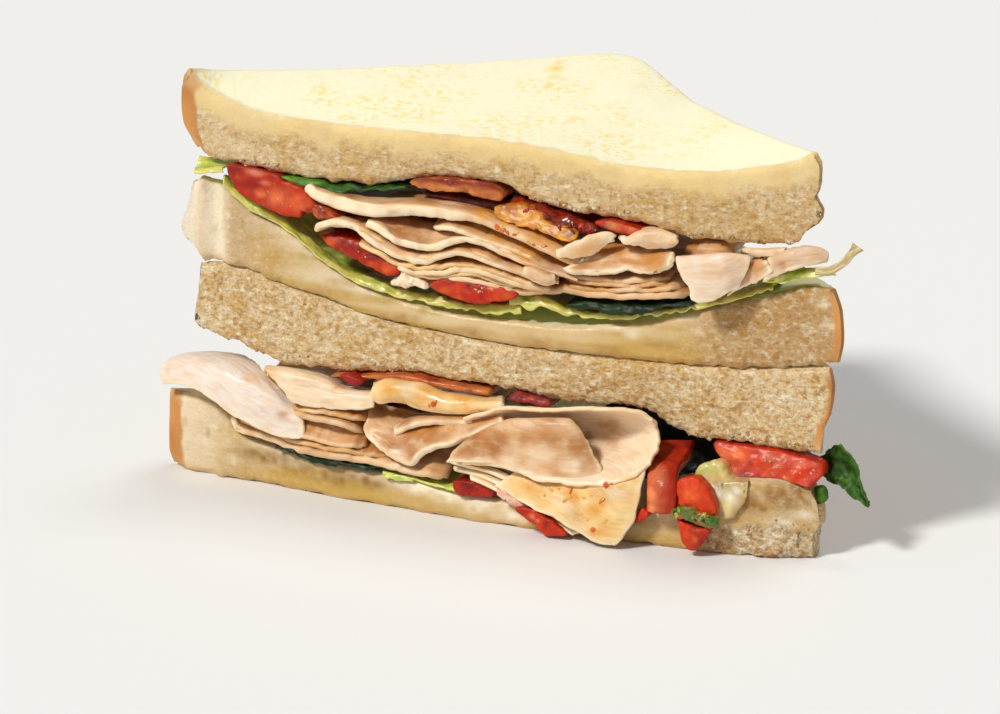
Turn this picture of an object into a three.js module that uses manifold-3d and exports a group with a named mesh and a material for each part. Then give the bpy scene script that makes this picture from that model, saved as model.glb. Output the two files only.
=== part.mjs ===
// Club sandwich: two triangular halves of a toasted sandwich, one on top of the other.
// Each half is two slices of white bread round folded turkey, tomato, bacon and leaves.
// Millimetres, +Z up, +X along the cut face from its left tip to its right tip, -Y out of it.

import * as THREE from 'three';
import { mergeVertices } from 'three/addons/utils/BufferGeometryUtils.js';
import Module from 'manifold-3d';

const wasm = await Module();
wasm.setup();

// ---------------------------------------------------------------- driving dimensions

const CUT_FACE_Y = -27;          // the cut face stands this far in front of the origin
const GAP = 0.35;                // air kept between neighbouring pieces
const BREAD_GAP = 0.8;           // air kept between a layer and the slices round it
const TURKEY_THICK = 1.7;        // one slice of turkey
const LEAF_THICK = 1.0;          // one lettuce or spinach leaf

const APEX_X = 4;                // the square corner of the bread lies behind this x
const APEX_Y = 84;               // and this deep, before it is rounded
const APEX_ROUND = 16;           // how softly the two crust sides run into each other
const TIP_BLUNT = 6;             // radius of the loaf's corner at each tip of the triangle
const CRUST_ROUND = 3;           // radius of the crust's upper and lower edge
const CRUST_INSET = 5;           // fillings end this far inside the crust

const BREAD_STATIONS = 28;       // loops of points along one slice
const SPILL = new THREE.Vector3(0.404, -1, 0.32);

// ---------------------------------------------------------------- curves and places

const mix = (a, b, t) => a + (b - a) * t;
const clamp = THREE.MathUtils.clamp;
const smooth = (t) => THREE.MathUtils.smoothstep(t, 0, 1);

/** Smooth curve through [x, value...] knots that never overshoots them; `column` picks the value. */
function curve(knots, column = 1) {
  const last = knots.length - 1;
  const steepness = (i) => {
    const [a, b] = [knots[clamp(i, 0, last - 1)], knots[clamp(i, 0, last - 1) + 1]];
    return (b[column] - a[column]) / (b[0] - a[0]);
  };
  const slope = (i) => {
    const [before, after] = [steepness(i - 1), steepness(i)];
    return before * after > 0 ? 2 * before * after / (before + after) : 0;
  };
  return (x) => {
    if (x <= knots[0][0]) return knots[0][column];
    if (x >= knots[last][0]) return knots[last][column];
    const i = knots.findIndex((knot) => knot[0] > x) - 1;
    const span = knots[i + 1][0] - knots[i][0];
    const t = (x - knots[i][0]) / span;
    const start = knots[i][column] * (2 * t ** 3 - 3 * t ** 2 + 1);
    const end = knots[i + 1][column] * (3 * t ** 2 - 2 * t ** 3);
    const bends = slope(i) * (t ** 3 - 2 * t ** 2 + t) + slope(i + 1) * (t ** 3 - t ** 2);
    return start + end + bends * span;
  };
}

/** A place on the cut face at x and z, spilled `out` mm forwards, to the right and up. */
function spilled(x, z, out) {
  return new THREE.Vector3(x, 0, z).addScaledVector(SPILL, out);
}

/** The lower of two heights, with the corner between them rounded over `width`. */
function softMin(a, b, width) {
  const overlap = Math.max(width - Math.abs(a - b), 0) / width;
  return Math.min(a, b) - overlap * overlap * width / 4;
}

// ---------------------------------------------------------------- bread slices

/** One slice: its ends, its forward bulge, and its top and bottom at the cut and at the crust. */
class Slice {
  constructor({ left, right, bulge, top, bottom, crustTop, crustBottom }) {
    Object.assign(this, { left, right });
    this.front = curve(bulge);
    this.cutTop = curve(top);
    this.cutBottom = curve(bottom);
    this.crustTop = curve(crustTop);
    this.crustBottom = curve(crustBottom);
  }

  /** Depth of the triangle at x: a blunt tip, a straight crust side, and the rounded corner. */
  back(x) {
    const side = (run, whole) => {
      const reach = (d) => Math.sqrt(d * d + 2 * TIP_BLUNT * d);
      return APEX_Y * reach(Math.max(run, 0)) / reach(whole);
    };
    const fromLeft = side(x - this.left, APEX_X - this.left);
    const fromRight = side(this.right - x, this.right - APEX_X);
    return Math.max(this.front(x), 0) + Math.max(softMin(fromLeft, fromRight, APEX_ROUND), 0.8);
  }

  /** How far y lies from the cut face to the crust, eased from 0 to 1. */
  depth(x, y) {
    const front = this.front(x);
    return smooth((y - front) / (this.back(x) - front));
  }

  topAt(x, y) {
    return mix(this.cutTop(x), this.crustTop(x), this.depth(x, y));
  }

  bottomAt(x, y) {
    return mix(this.cutBottom(x), this.crustBottom(x), this.depth(x, y));
  }

  /** The outline of the slice in the plane across x, as a closed loop. */
  loop(x, grow) {
    const front = this.front(x) - grow;
    const back = this.back(x) + grow;
    const points = [];
    const put = (y, level) => {
      const low = this.bottomAt(x, y) - grow;
      const high = this.topAt(x, y) + grow;
      points.push(new THREE.Vector3(x, y, mix(low, high, level)));
    };
    const radius = Math.min(CRUST_ROUND, (back - front) / 3);
    const share = radius / (this.topAt(x, back) - this.bottomAt(x, back));
    const inner = back - radius;
    const across = [0, 0.12, 0.3, 0.6, 0.85].map((t) => mix(front, inner, t));
    [0, 0.5].forEach((level) => put(front, level));
    across.forEach((y) => put(y, 1));
    [0, 45, 90].forEach((angle) => {
      const a = THREE.MathUtils.degToRad(angle);
      put(inner + radius * Math.sin(a), 1 - share * (1 - Math.cos(a)));
    });
    [90, 45, 0].forEach((angle) => {
      const a = THREE.MathUtils.degToRad(angle);
      put(inner + radius * Math.sin(a), share * (1 - Math.cos(a)));
    });
    across.slice(1).reverse().forEach((y) => put(y, 0));
    return points;
  }

  /** Loops along x, closer together towards the tips, closed by a fan at each end. */
  solid(grow = 0) {
    const loops = [];
    for (let i = 0; i <= BREAD_STATIONS; i += 1) {
      const t = i / BREAD_STATIONS;
      const share = mix(t, (1 - Math.cos(Math.PI * t)) / 2, 0.45);
      loops.push(this.loop(mix(this.left - grow, this.right + grow, share), grow));
    }
    return solidOfLoops(loops);
  }
}

/** A closed geometry from points and a list of corner numbers. */
function geometryOf(points, faces) {
  const geometry = new THREE.BufferGeometry().setFromPoints(points);
  geometry.setIndex(faces);
  return geometry;
}

/** Closed solid through a row of alike loops, with a fan over the first and the last. */
function solidOfLoops(loops) {
  const size = loops[0].length;
  const points = loops.flat();
  const faces = [];
  for (let i = 0; i < loops.length - 1; i += 1) {
    for (let j = 0; j < size; j += 1) {
      const next = (j + 1) % size;
      const [a, b, c, d] = [i * size + j, i * size + next, (i + 1) * size + next, (i + 1) * size + j];
      faces.push(a, c, b, a, d, c);
    }
  }
  [0, loops.length - 1].forEach((i) => {
    const centre = new THREE.Vector3();
    loops[i].forEach((point) => centre.addScaledVector(point, 1 / size));
    points.push(centre);
    for (let j = 0; j < size; j += 1) {
      const pair = [i * size + j, i * size + (j + 1) % size];
      faces.push(points.length - 1, ...(i === 0 ? pair : pair.reverse()));
    }
  });
  return geometryOf(points, faces);
}

const base = new Slice({
  left: -85.2,
  right: 83.2,
  bulge: [[-85, 4.5], [-76, 0.5], [-60, -0.3], [-49, -1.8], [-40, -3.5], [-20, -5.3], [3, -7.5],
    [25, -8], [52, -8], [70, -6.5], [83, -3]],
  top: [[-85, 19.3], [-76, 19.5], [-71, 18], [-66, 13.5], [-60, 10.7], [-49, 9.4], [-28, 8.2],
    [-18, 7.8], [-7, 6.5], [13, 6], [23, 6.2], [38, 7.6], [48, 10.5], [56, 15], [63, 17.6],
    [73, 18.4], [83, 16.5]],
  bottom: [[-85, 1.2], [-80, 0], [80, 0], [83, 0.5]],
  crustTop: [[-85, 19.3], [-60, 17.6], [4, 17], [60, 17], [83, 16.5]],
  crustBottom: [[-85, 1.2], [-80, 0], [80, 0], [83, 0.5]],
});

const lowerMiddle = new Slice({
  left: -75.5,
  right: 84.6,
  bulge: [[-75, 0.4], [-30, -0.4], [20, 0.3], [84, 0]],
  top: [[-75, 53], [-71, 53.8], [-62, 53.2], [-52, 50.2], [-42, 47.8], [-31, 45], [-20, 43.2],
    [-8, 42.2], [8, 41.2], [40, 41.3], [60, 42], [70, 43], [84, 44.6]],
  bottom: [[-75, 37], [-62, 34], [-55, 31.5], [-50, 30.6], [-30, 31.5], [-20, 32.4], [-10, 32],
    [10, 30.4], [20, 29.8], [40, 30], [44, 27.6], [48, 25.6], [55, 24.6], [84, 24.6]],
  crustTop: [[-75, 53], [-40, 47.5], [4, 44.4], [50, 43.4], [84, 44.6]],
  crustBottom: [[-75, 37], [-40, 30.5], [4, 27.4], [50, 26.6], [84, 24.6]],
});

const upperMiddle = new Slice({
  left: -79,
  right: 86.4,
  bulge: [[-79, 1], [-60, -0.5], [-10, 0.3], [30, -0.4], [86, 0.2]],
  top: [[-79, 73.2], [-75, 74.5], [-70, 74], [-65, 71], [-60, 67.6], [-50, 63.4], [-45, 59.6],
    [-40, 56], [-30, 51.6], [-20, 49.4], [-5, 47.6], [15, 47.6], [30, 49.3], [40, 51], [50, 54],
    [60, 57.5], [70, 60.6], [80, 63.4], [86, 63]],
  bottom: [[-79, 57], [-74, 54.6], [-71, 54.2], [-62, 53.6], [-52, 50.6], [-42, 48.2], [-31, 45.4],
    [-20, 43.6], [-8, 42.6], [8, 41.6], [40, 41.7], [60, 42.4], [70, 43.4], [82, 45.2], [86, 46.5]],
  crustTop: [[-79, 73.2], [-40, 65], [4, 61.6], [50, 61], [86, 63]],
  crustBottom: [[-79, 57], [-72, 54], [-40, 48], [4, 44.9], [50, 43.9], [80, 45], [86, 46.5]],
});

const topSlice = new Slice({
  left: -77.8,
  right: 80.6,
  bulge: [[-77, 0.6], [-40, -0.3], [10, 0.3], [50, -0.4], [80, 0.4]],
  top: [[-77, 98.5], [-75, 97.3], [-70, 95], [-60, 92.2], [-50, 91], [-40, 90.3], [0, 90],
    [10, 89.5], [20, 88.6], [30, 87.5], [40, 86.8], [50, 87], [60, 88.5], [70, 90.4], [80, 93.4]],
  bottom: [[-77, 82], [-74, 80], [-70, 79], [-60, 78.4], [-50, 77.2], [-30, 76.9], [-20, 79],
    [-10, 80.6], [3, 80.2], [10, 77.4], [20, 75.4], [40, 74], [48, 72.5], [60, 71.7], [75, 72.3],
    [80, 76]],
  crustTop: [[-77, 100.5], [-65, 98.5], [-56, 97.5], [-44, 96.5], [-30, 95.8], [-10, 95.2],
    [5, 95], [15, 94.2], [22, 92.6], [33, 90.8], [45, 90.7], [57, 91.3], [68, 92], [80, 94]],
  crustBottom: [[-77, 82], [-60, 79.6], [-10, 78], [5, 77.4], [22, 75], [45, 73.4], [68, 75], [80, 76]],
});

// ---------------------------------------------------------------- fillings

/** The room between two slices: heights in it are shares of the way from floor to ceiling. */
class Room {
  constructor(below, above) {
    Object.assign(this, { below, above });
  }

  floor(x, y) {
    return this.below.topAt(x, y);
  }

  ceiling(x, y) {
    return this.above.bottomAt(x, y);
  }

  share(x, y, q) {
    return mix(this.floor(x, y), this.ceiling(x, y), q);
  }

  /** Height z, kept clear of the bread by `margin` where there is bread above or below. */
  keepClear(x, y, z, margin) {
    let height = z;
    if (y > this.above.front(x) - 1) height = Math.min(height, this.ceiling(x, y) - margin);
    if (y > this.below.front(x) - 1) height = Math.max(height, this.floor(x, y) + margin);
    return height;
  }

  reach(x) {
    return Math.max(Math.min(this.below.back(x), this.above.back(x)) - CRUST_INSET, 3);
  }
}

const lowerRoom = new Room(base, lowerMiddle);
const upperRoom = new Room(upperMiddle, topSlice);

/** Closed solid between two alike grids of points, rows towards the back and columns along x. */
function solidBetween(upper, lower) {
  const rows = upper.length;
  const cols = upper[0].length;
  const points = [...upper.flat(), ...lower.flat()];
  const up = (r, c) => r * cols + c;
  const down = (r, c) => rows * cols + up(r, c);
  const faces = [];
  const quad = (a, b, c, d) => faces.push(a, b, c, a, c, d);
  for (let r = 0; r < rows - 1; r += 1) {
    for (let c = 0; c < cols - 1; c += 1) {
      quad(up(r, c), up(r, c + 1), up(r + 1, c + 1), up(r + 1, c));
      faces.push(down(r, c), down(r + 1, c + 1), down(r, c + 1));
      faces.push(down(r, c), down(r + 1, c), down(r + 1, c + 1));
    }
  }
  for (let c = 0; c < cols - 1; c += 1) {
    quad(down(0, c), down(0, c + 1), up(0, c + 1), up(0, c));
    quad(up(rows - 1, c), up(rows - 1, c + 1), down(rows - 1, c + 1), down(rows - 1, c));
  }
  for (let r = 0; r < rows - 1; r += 1) {
    quad(down(r + 1, 0), down(r, 0), up(r, 0), up(r + 1, 0));
    quad(down(r, cols - 1), down(r + 1, cols - 1), up(r + 1, cols - 1), up(r, cols - 1));
  }
  return geometryOf(points, faces);
}

/** The point of a grid at row r and column c, or the nearest one inside it. */
function cell(grid, r, c) {
  return grid[clamp(r, 0, grid.length - 1)][clamp(c, 0, grid[0].length - 1)];
}

/** A sheet of even thickness round a grid of middle points, its rim moved out by `grow`. */
function sheetSolid(middle, thickness, grow) {
  const half = thickness / 2 + grow;
  const wide = middle.map((row, r) => row.map((point, c) => {
    const rowIn = clamp(r, 1, middle.length - 2);
    const colIn = clamp(c, 1, row.length - 2);
    const away = point.clone().sub(middle[rowIn][colIn]);
    return away.length() > 0 ? point.clone().addScaledVector(away.normalize(), grow) : point;
  }));
  const offset = (side) => wide.map((row, r) => row.map((point, c) => {
    const along = cell(wide, r, c + 1).clone().sub(cell(wide, r, c - 1));
    const across = cell(wide, r + 1, c).clone().sub(cell(wide, r - 1, c));
    return point.clone().addScaledVector(along.cross(across).normalize(), side * half);
  }));
  return solidBetween(offset(1), offset(-1));
}

const LIP_ANGLES = [0, 50, 90];
const INNER_SHARES = [0.2, 0.7, 1];

/**
 * A layer that runs through the food. `line` is [x, upper edge, lower edge] along its visible
 * front; the front rolls down over a lip that stands `hang` before the bread, and behind it the
 * layer settles at the share `level` of the room and runs `deep` of the way to the crust.
 */
function layerSolid({ room, line, hang, level, thickness, deep = 1, cols = 10 }, grow) {
  const upper = curve(line, 1);
  const lower = curve(line, 2);
  const [start, end] = [line[0][0], line[line.length - 1][0]];
  const rows = [...LIP_ANGLES, ...INNER_SHARES].map(() => []);
  for (let c = 0; c <= cols; c += 1) {
    const x = mix(start, end, c / cols);
    const out = hang - room.below.front(x);
    const high = upper(x) - thickness / 2;
    const low = Math.min(lower(x) + thickness / 4, high - 0.2);
    const bend = clamp(high - low, 1.2, 4);
    LIP_ANGLES.forEach((angle, r) => {
      const a = THREE.MathUtils.degToRad(angle);
      const point = spilled(x, mix(low, high, Math.sin(a)), out - bend * (1 - Math.cos(a)));
      point.z = room.keepClear(point.x, point.y, point.z, thickness / 2 + BREAD_GAP);
      rows[r].push(point);
    });
    const shoulder = rows[LIP_ANGLES.length - 1][c];
    const inside = Math.max(room.reach(shoulder.x) * deep, shoulder.y + 3);
    INNER_SHARES.forEach((share, k) => {
      const y = mix(shoulder.y, inside, share);
      const settled = smooth((y - shoulder.y) / Math.min(20, inside - shoulder.y));
      const z = mix(shoulder.z, room.share(shoulder.x, y, level), settled);
      const safe = room.keepClear(shoulder.x, y, z, thickness / 2 + BREAD_GAP);
      rows[LIP_ANGLES.length + k].push(new THREE.Vector3(shoulder.x, y, safe));
    });
  }
  return sheetSolid(rows, thickness, grow);
}

/** A loose sheet through rails of [x, z, out] points, smooth both along and across the rails. */
function foldSolid({ rails, thickness, cols = 10, rows = 5 }, grow) {
  const along = rails.map((rail) => new THREE.CatmullRomCurve3(
    rail.map(([x, z, out]) => spilled(x, z, out)),
    false,
    'catmullrom',
  ));
  const grid = Array.from({ length: rows + 1 }, () => []);
  for (let c = 0; c <= cols; c += 1) {
    const points = along.map((rail) => rail.getPoint(c / cols));
    const across = new THREE.CatmullRomCurve3(points, false, 'catmullrom');
    for (let r = 0; r <= rows; r += 1) grid[r].push(across.getPoint(r / rows));
  }
  return sheetSolid(grid, thickness, grow);
}

const CHUNK_DEPTHS = [0, 0.15, 0.55, 0.88, 1];
const CHUNK_FACE = 0.62;         // a chunk's flat front is this share of its full height

/**
 * A thick piece seen end on. `line` is [x, top, bottom] along its front, which stands `out`
 * before the cut face at the top and `out + lean` at the bottom; it runs `depth` mm back.
 */
function chunkSolid({ room, line, out, lean = 0, depth, cols = 6 }, grow) {
  const top = curve(line, 1);
  const bottom = curve(line, 2);
  const [start, end] = [line[0][0] - grow, line[line.length - 1][0] + grow];
  const sides = [1, -1].map((side) => CHUNK_DEPTHS.map((share, r) => {
    const edge = r === 0 || r === CHUNK_DEPTHS.length - 1;
    const row = [];
    for (let c = 0; c <= cols; c += 1) {
      const x = mix(start, end, c / cols);
      const tip = c === 0 || c === cols ? CHUNK_FACE : 1;
      const half = (top(x) - bottom(x)) / 2 * (edge ? CHUNK_FACE : 1) * tip + grow;
      const z = (top(x) + bottom(x)) / 2 + side * half;
      const front = out + (side < 0 ? lean : 0);
      const point = spilled(x, z, front + grow);
      const run = room ? Math.min(depth, Math.max(room.reach(point.x) + out, 5)) : depth;
      point.y += share * (run + front - out + 2 * grow);
      if (room) point.z = room.keepClear(point.x, point.y, point.z, GAP - grow);
      row.push(point);
    }
    return row;
  }));
  return solidBetween(...sides);
}

// ---------------------------------------------------------------- the pieces

const turkey = { thickness: TURKEY_THICK };
const leaf = { thickness: LEAF_THICK };

const upperLayers = {
  lettuce_upper_left: { ...leaf, hang: 1.4, level: 0.06, cols: 13, line: [[-66, 72.4, 69.5],
    [-60, 69.3, 65], [-52, 66.2, 61.4], [-46, 63.3, 58.5], [-40, 60, 54.5], [-34, 56, 52],
    [-26, 53.5, 50.5], [-18, 51.2, 49.3], [-8, 49.9, 48.3], [2, 49.6, 48]] },
  lettuce_upper_right: { ...leaf, hang: 1.4, level: 0.06, line: [[11, 52.5, 49.6],
    [20, 51.5, 49], [30, 51, 49.5], [40, 53, 51], [50, 56, 54], [60, 58.7, 57],
    [70, 62.2, 60.4]] },
  leaf_upper_middle: { ...leaf, hang: 2.6, level: 0.2, deep: 0.5, cols: 8, line: [[18, 54.4, 52.8],
    [22, 55.4, 52], [30, 54.8, 51.5], [38, 55.2, 51.5], [44, 56.4, 54], [51, 57.6, 56.4]] },
  turkey_upper_1: { ...turkey, hang: 3.5, level: 0.3, line: [[-12, 58.4, 57], [0, 57.9, 56.4],
    [10, 56.9, 55.1], [20, 57, 54.9], [30, 58.2, 55.8], [40, 59.5, 56.2], [50, 60, 57.6]] },
  turkey_upper_2: { ...turkey, hang: 4.2, level: 0.42, deep: 0.5, cols: 8, line: [[-24, 60.6, 59],
    [-16, 60.2, 58.6], [-8, 60.3, 58.8], [0, 60.3, 58.8], [10, 59.4, 57.8], [18.6, 58.8, 57.2]] },
  turkey_upper_3: { ...turkey, hang: 2.8, level: 0.46, deep: 0.5, cols: 8, line: [[23, 60.8, 59.2],
    [33, 61.2, 59.6], [40, 61.5, 59.8], [44.6, 61.6, 60]] },
  turkey_upper_4: { ...turkey, hang: 4.3, level: 0.53, line: [[-42, 65.3, 64], [-34, 64.8, 63.2],
    [-27, 63, 61.4], [-20, 62.2, 60.6], [-12, 62.4, 60.6], [-4, 62.8, 61], [4, 62.2, 60.4],
    [12, 61.4, 59.6], [18, 60.6, 59]] },
  turkey_upper_5: { ...turkey, hang: 5, level: 0.68, line: [[-43.5, 67.6, 65.5], [-38, 68, 65.4],
    [-31, 68, 65], [-25, 67, 63], [-18, 65.5, 61.9], [-12, 66, 62.1], [-5, 66.6, 63.3],
    [2, 66, 62.4], [8, 64.6, 62], [13.6, 63.4, 61.6]] },
  turkey_upper_6: { ...turkey, hang: 3.8, level: 0.83, cols: 12, line: [[-44.4, 74.2, 72.2],
    [-42, 73.6, 70], [-36, 73.3, 68.6], [-28, 73.8, 68.6], [-20, 73.8, 68.8], [-10, 73, 68],
    [0, 71.8, 67.2], [8, 71, 66.6], [15, 69.8, 65.6], [18.6, 68.8, 65.2]] },
  turkey_upper_7: { ...turkey, hang: 0.5, level: 0.86, cols: 6, line: [[49.5, 71.8, 69.6],
    [54, 71.6, 69.4], [59, 71.2, 69.4]] },
  lettuce_upper_tip: { ...leaf, hang: 1.5, level: 0.75, cols: 5, line: [[-77, 76.8, 75.2],
    [-74, 77.4, 75], [-71, 77.4, 75.2], [-68.5, 77, 75.4]] },
  leaf_upper_top: { ...leaf, hang: 0.6, level: 0.95, deep: 0.4, cols: 8, line: [[-50, 77, 75.9],
    [-47, 77, 75.6], [-42, 76.8, 75.4], [-36, 76.8, 75.2], [-30, 76.6, 75.4], [-24, 76.6, 75.6]] },
};

const lowerLayers = {
  leaf_lower: { ...leaf, hang: 1.1, level: 0.12, cols: 8, line: [[-53, 9.9, 9], [-46, 9.2, 7.8],
    [-40, 8.5, 6.8], [-33, 8, 6.5], [-26.5, 7.5, 6.1]] },
  lettuce_lower: { ...leaf, hang: 1.1, level: 0.12, deep: 0.6, cols: 6, line: [[-25, 7, 6], [-20, 7, 5.2],
    [-14, 7.6, 5], [-10, 7.4, 5.4]] },
  turkey_lower_1: { ...turkey, hang: 2.2, level: 0.24, line: [[-66, 16.2, 14], [-60, 14.2, 11.6],
    [-52, 12.4, 10.2], [-44, 11.6, 9.4], [-36, 10.8, 8.7], [-27, 10.4, 8.6], [-18, 10.6, 8.8],
    [-10, 11, 9.2], [-7, 11.2, 9.4]] },
  turkey_lower_2: { ...turkey, hang: 2.6, level: 0.4, line: [[-62, 19.4, 17], [-56, 17.4, 14.8],
    [-48, 15.6, 12.8], [-40, 14.6, 12], [-32, 13.6, 11], [-24, 12.4, 10.4]] },
  turkey_lower_3: { ...turkey, hang: 2.2, level: 0.54, line: [[-58, 22.5, 19.6], [-50, 20, 17.2],
    [-42, 19, 15.6], [-37, 18.2, 15], [-34.6, 17.8, 15.2]] },
  turkey_lower_4: { ...turkey, hang: 3.4, level: 0.7, line: [[-57.5, 30, 25.5], [-52, 30.2, 21.8],
    [-45, 29.2, 20.9], [-38, 27, 20.7], [-33, 26, 21], [-30, 25.4, 22.4]] },
  turkey_lower_5: { ...turkey, hang: 0.6, level: 0.86, cols: 8, line: [[-28.6, 28, 25.2],
    [-25, 29, 25.4], [-18, 29, 26.2], [-10, 28.4, 25.6], [-4, 28, 25.4]] },
};

const upperFolds = {
  turkey_upper_fold: { ...turkey, cols: 10, rails: [
    [[16, 62, 5], [24, 61.4, 5.4], [30, 62, 5], [36, 61.2, 5], [40.6, 61.4, 5.4], [43.8, 64.4, 5.2]],
    [[18, 64, 5.6], [25, 65, 4.2], [32, 65.5, 2.6], [38, 65.6, 2.4], [41.6, 66.4, 2.8], [44.4, 67.8, 3]],
    [[20, 66.4, 5.4], [25, 69.4, 5], [30, 71, 4.4], [35, 70, 4], [40.6, 71, 4.2], [45.6, 70.8, 3.8]],
    [[20, 67, 0], [26, 69, -3], [31, 69.4, -6], [36, 69, -8], [41, 69.2, -8], [45.6, 69.8, -6]]] },
  turkey_upper_flap: { ...turkey, cols: 6, rows: 4, rails: [
    [[50, 57.8, 6.8], [52.5, 57.4, 7], [57, 59.4, 6.5], [66, 61.6, 5.2]],
    [[47.4, 63, 6.6], [52, 63.3, 6.8], [58, 64, 6], [67.4, 65.4, 4.6]],
    [[45.8, 66.6, 5], [52, 67.2, 5], [58, 67.8, 4.4], [64.4, 68.2, 3.8]],
    [[46.6, 67, -6], [51, 66.6, -8], [56, 66.6, -8], [60, 66.6, -7]]] },
  turkey_upper_right: { ...turkey, cols: 8, rows: 3, rails: [
    [[67.4, 68.2, 3.2], [71, 67, 3.4], [75, 66.8, 3], [80, 68, 2], [83.5, 68.8, 0.6]],
    [[65.6, 70.6, 1], [69, 70.2, 0.6], [74, 71, 0], [79, 71.2, -0.5], [83, 69.6, -1]],
    [[63.4, 70.2, -9], [68, 69.6, -9], [73, 69.6, -7], [78, 70.4, -5], [82, 69.6, -3.5]]] },
  lettuce_shred_bed: { ...leaf, cols: 6, rows: 3, rails: [
    [[67, 63.2, 2], [72, 63.6, 2.2], [78, 65, 2], [85, 66.4, 1.4]],
    [[67, 65, 0], [72, 65.8, 0.4], [78, 67.2, 0], [84.5, 67.8, -0.4]],
    [[66, 64.4, -9], [71, 65.4, -8], [76, 66.4, -7], [82, 67, -5]]] },
  shred: { ...leaf, cols: 8, rows: 2, rails: [
    [[79.4, 66, 3.9], [83.4, 66.6, 3.5], [86.4, 68.6, 3.2], [88.6, 71.4, 3.4], [90.8, 73, 3.2]],
    [[79.4, 68, 3.8], [83, 68.6, 3.3], [85.4, 70.4, 2.8], [87.4, 73, 3], [88, 74.6, 2.8]]] },
};

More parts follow.
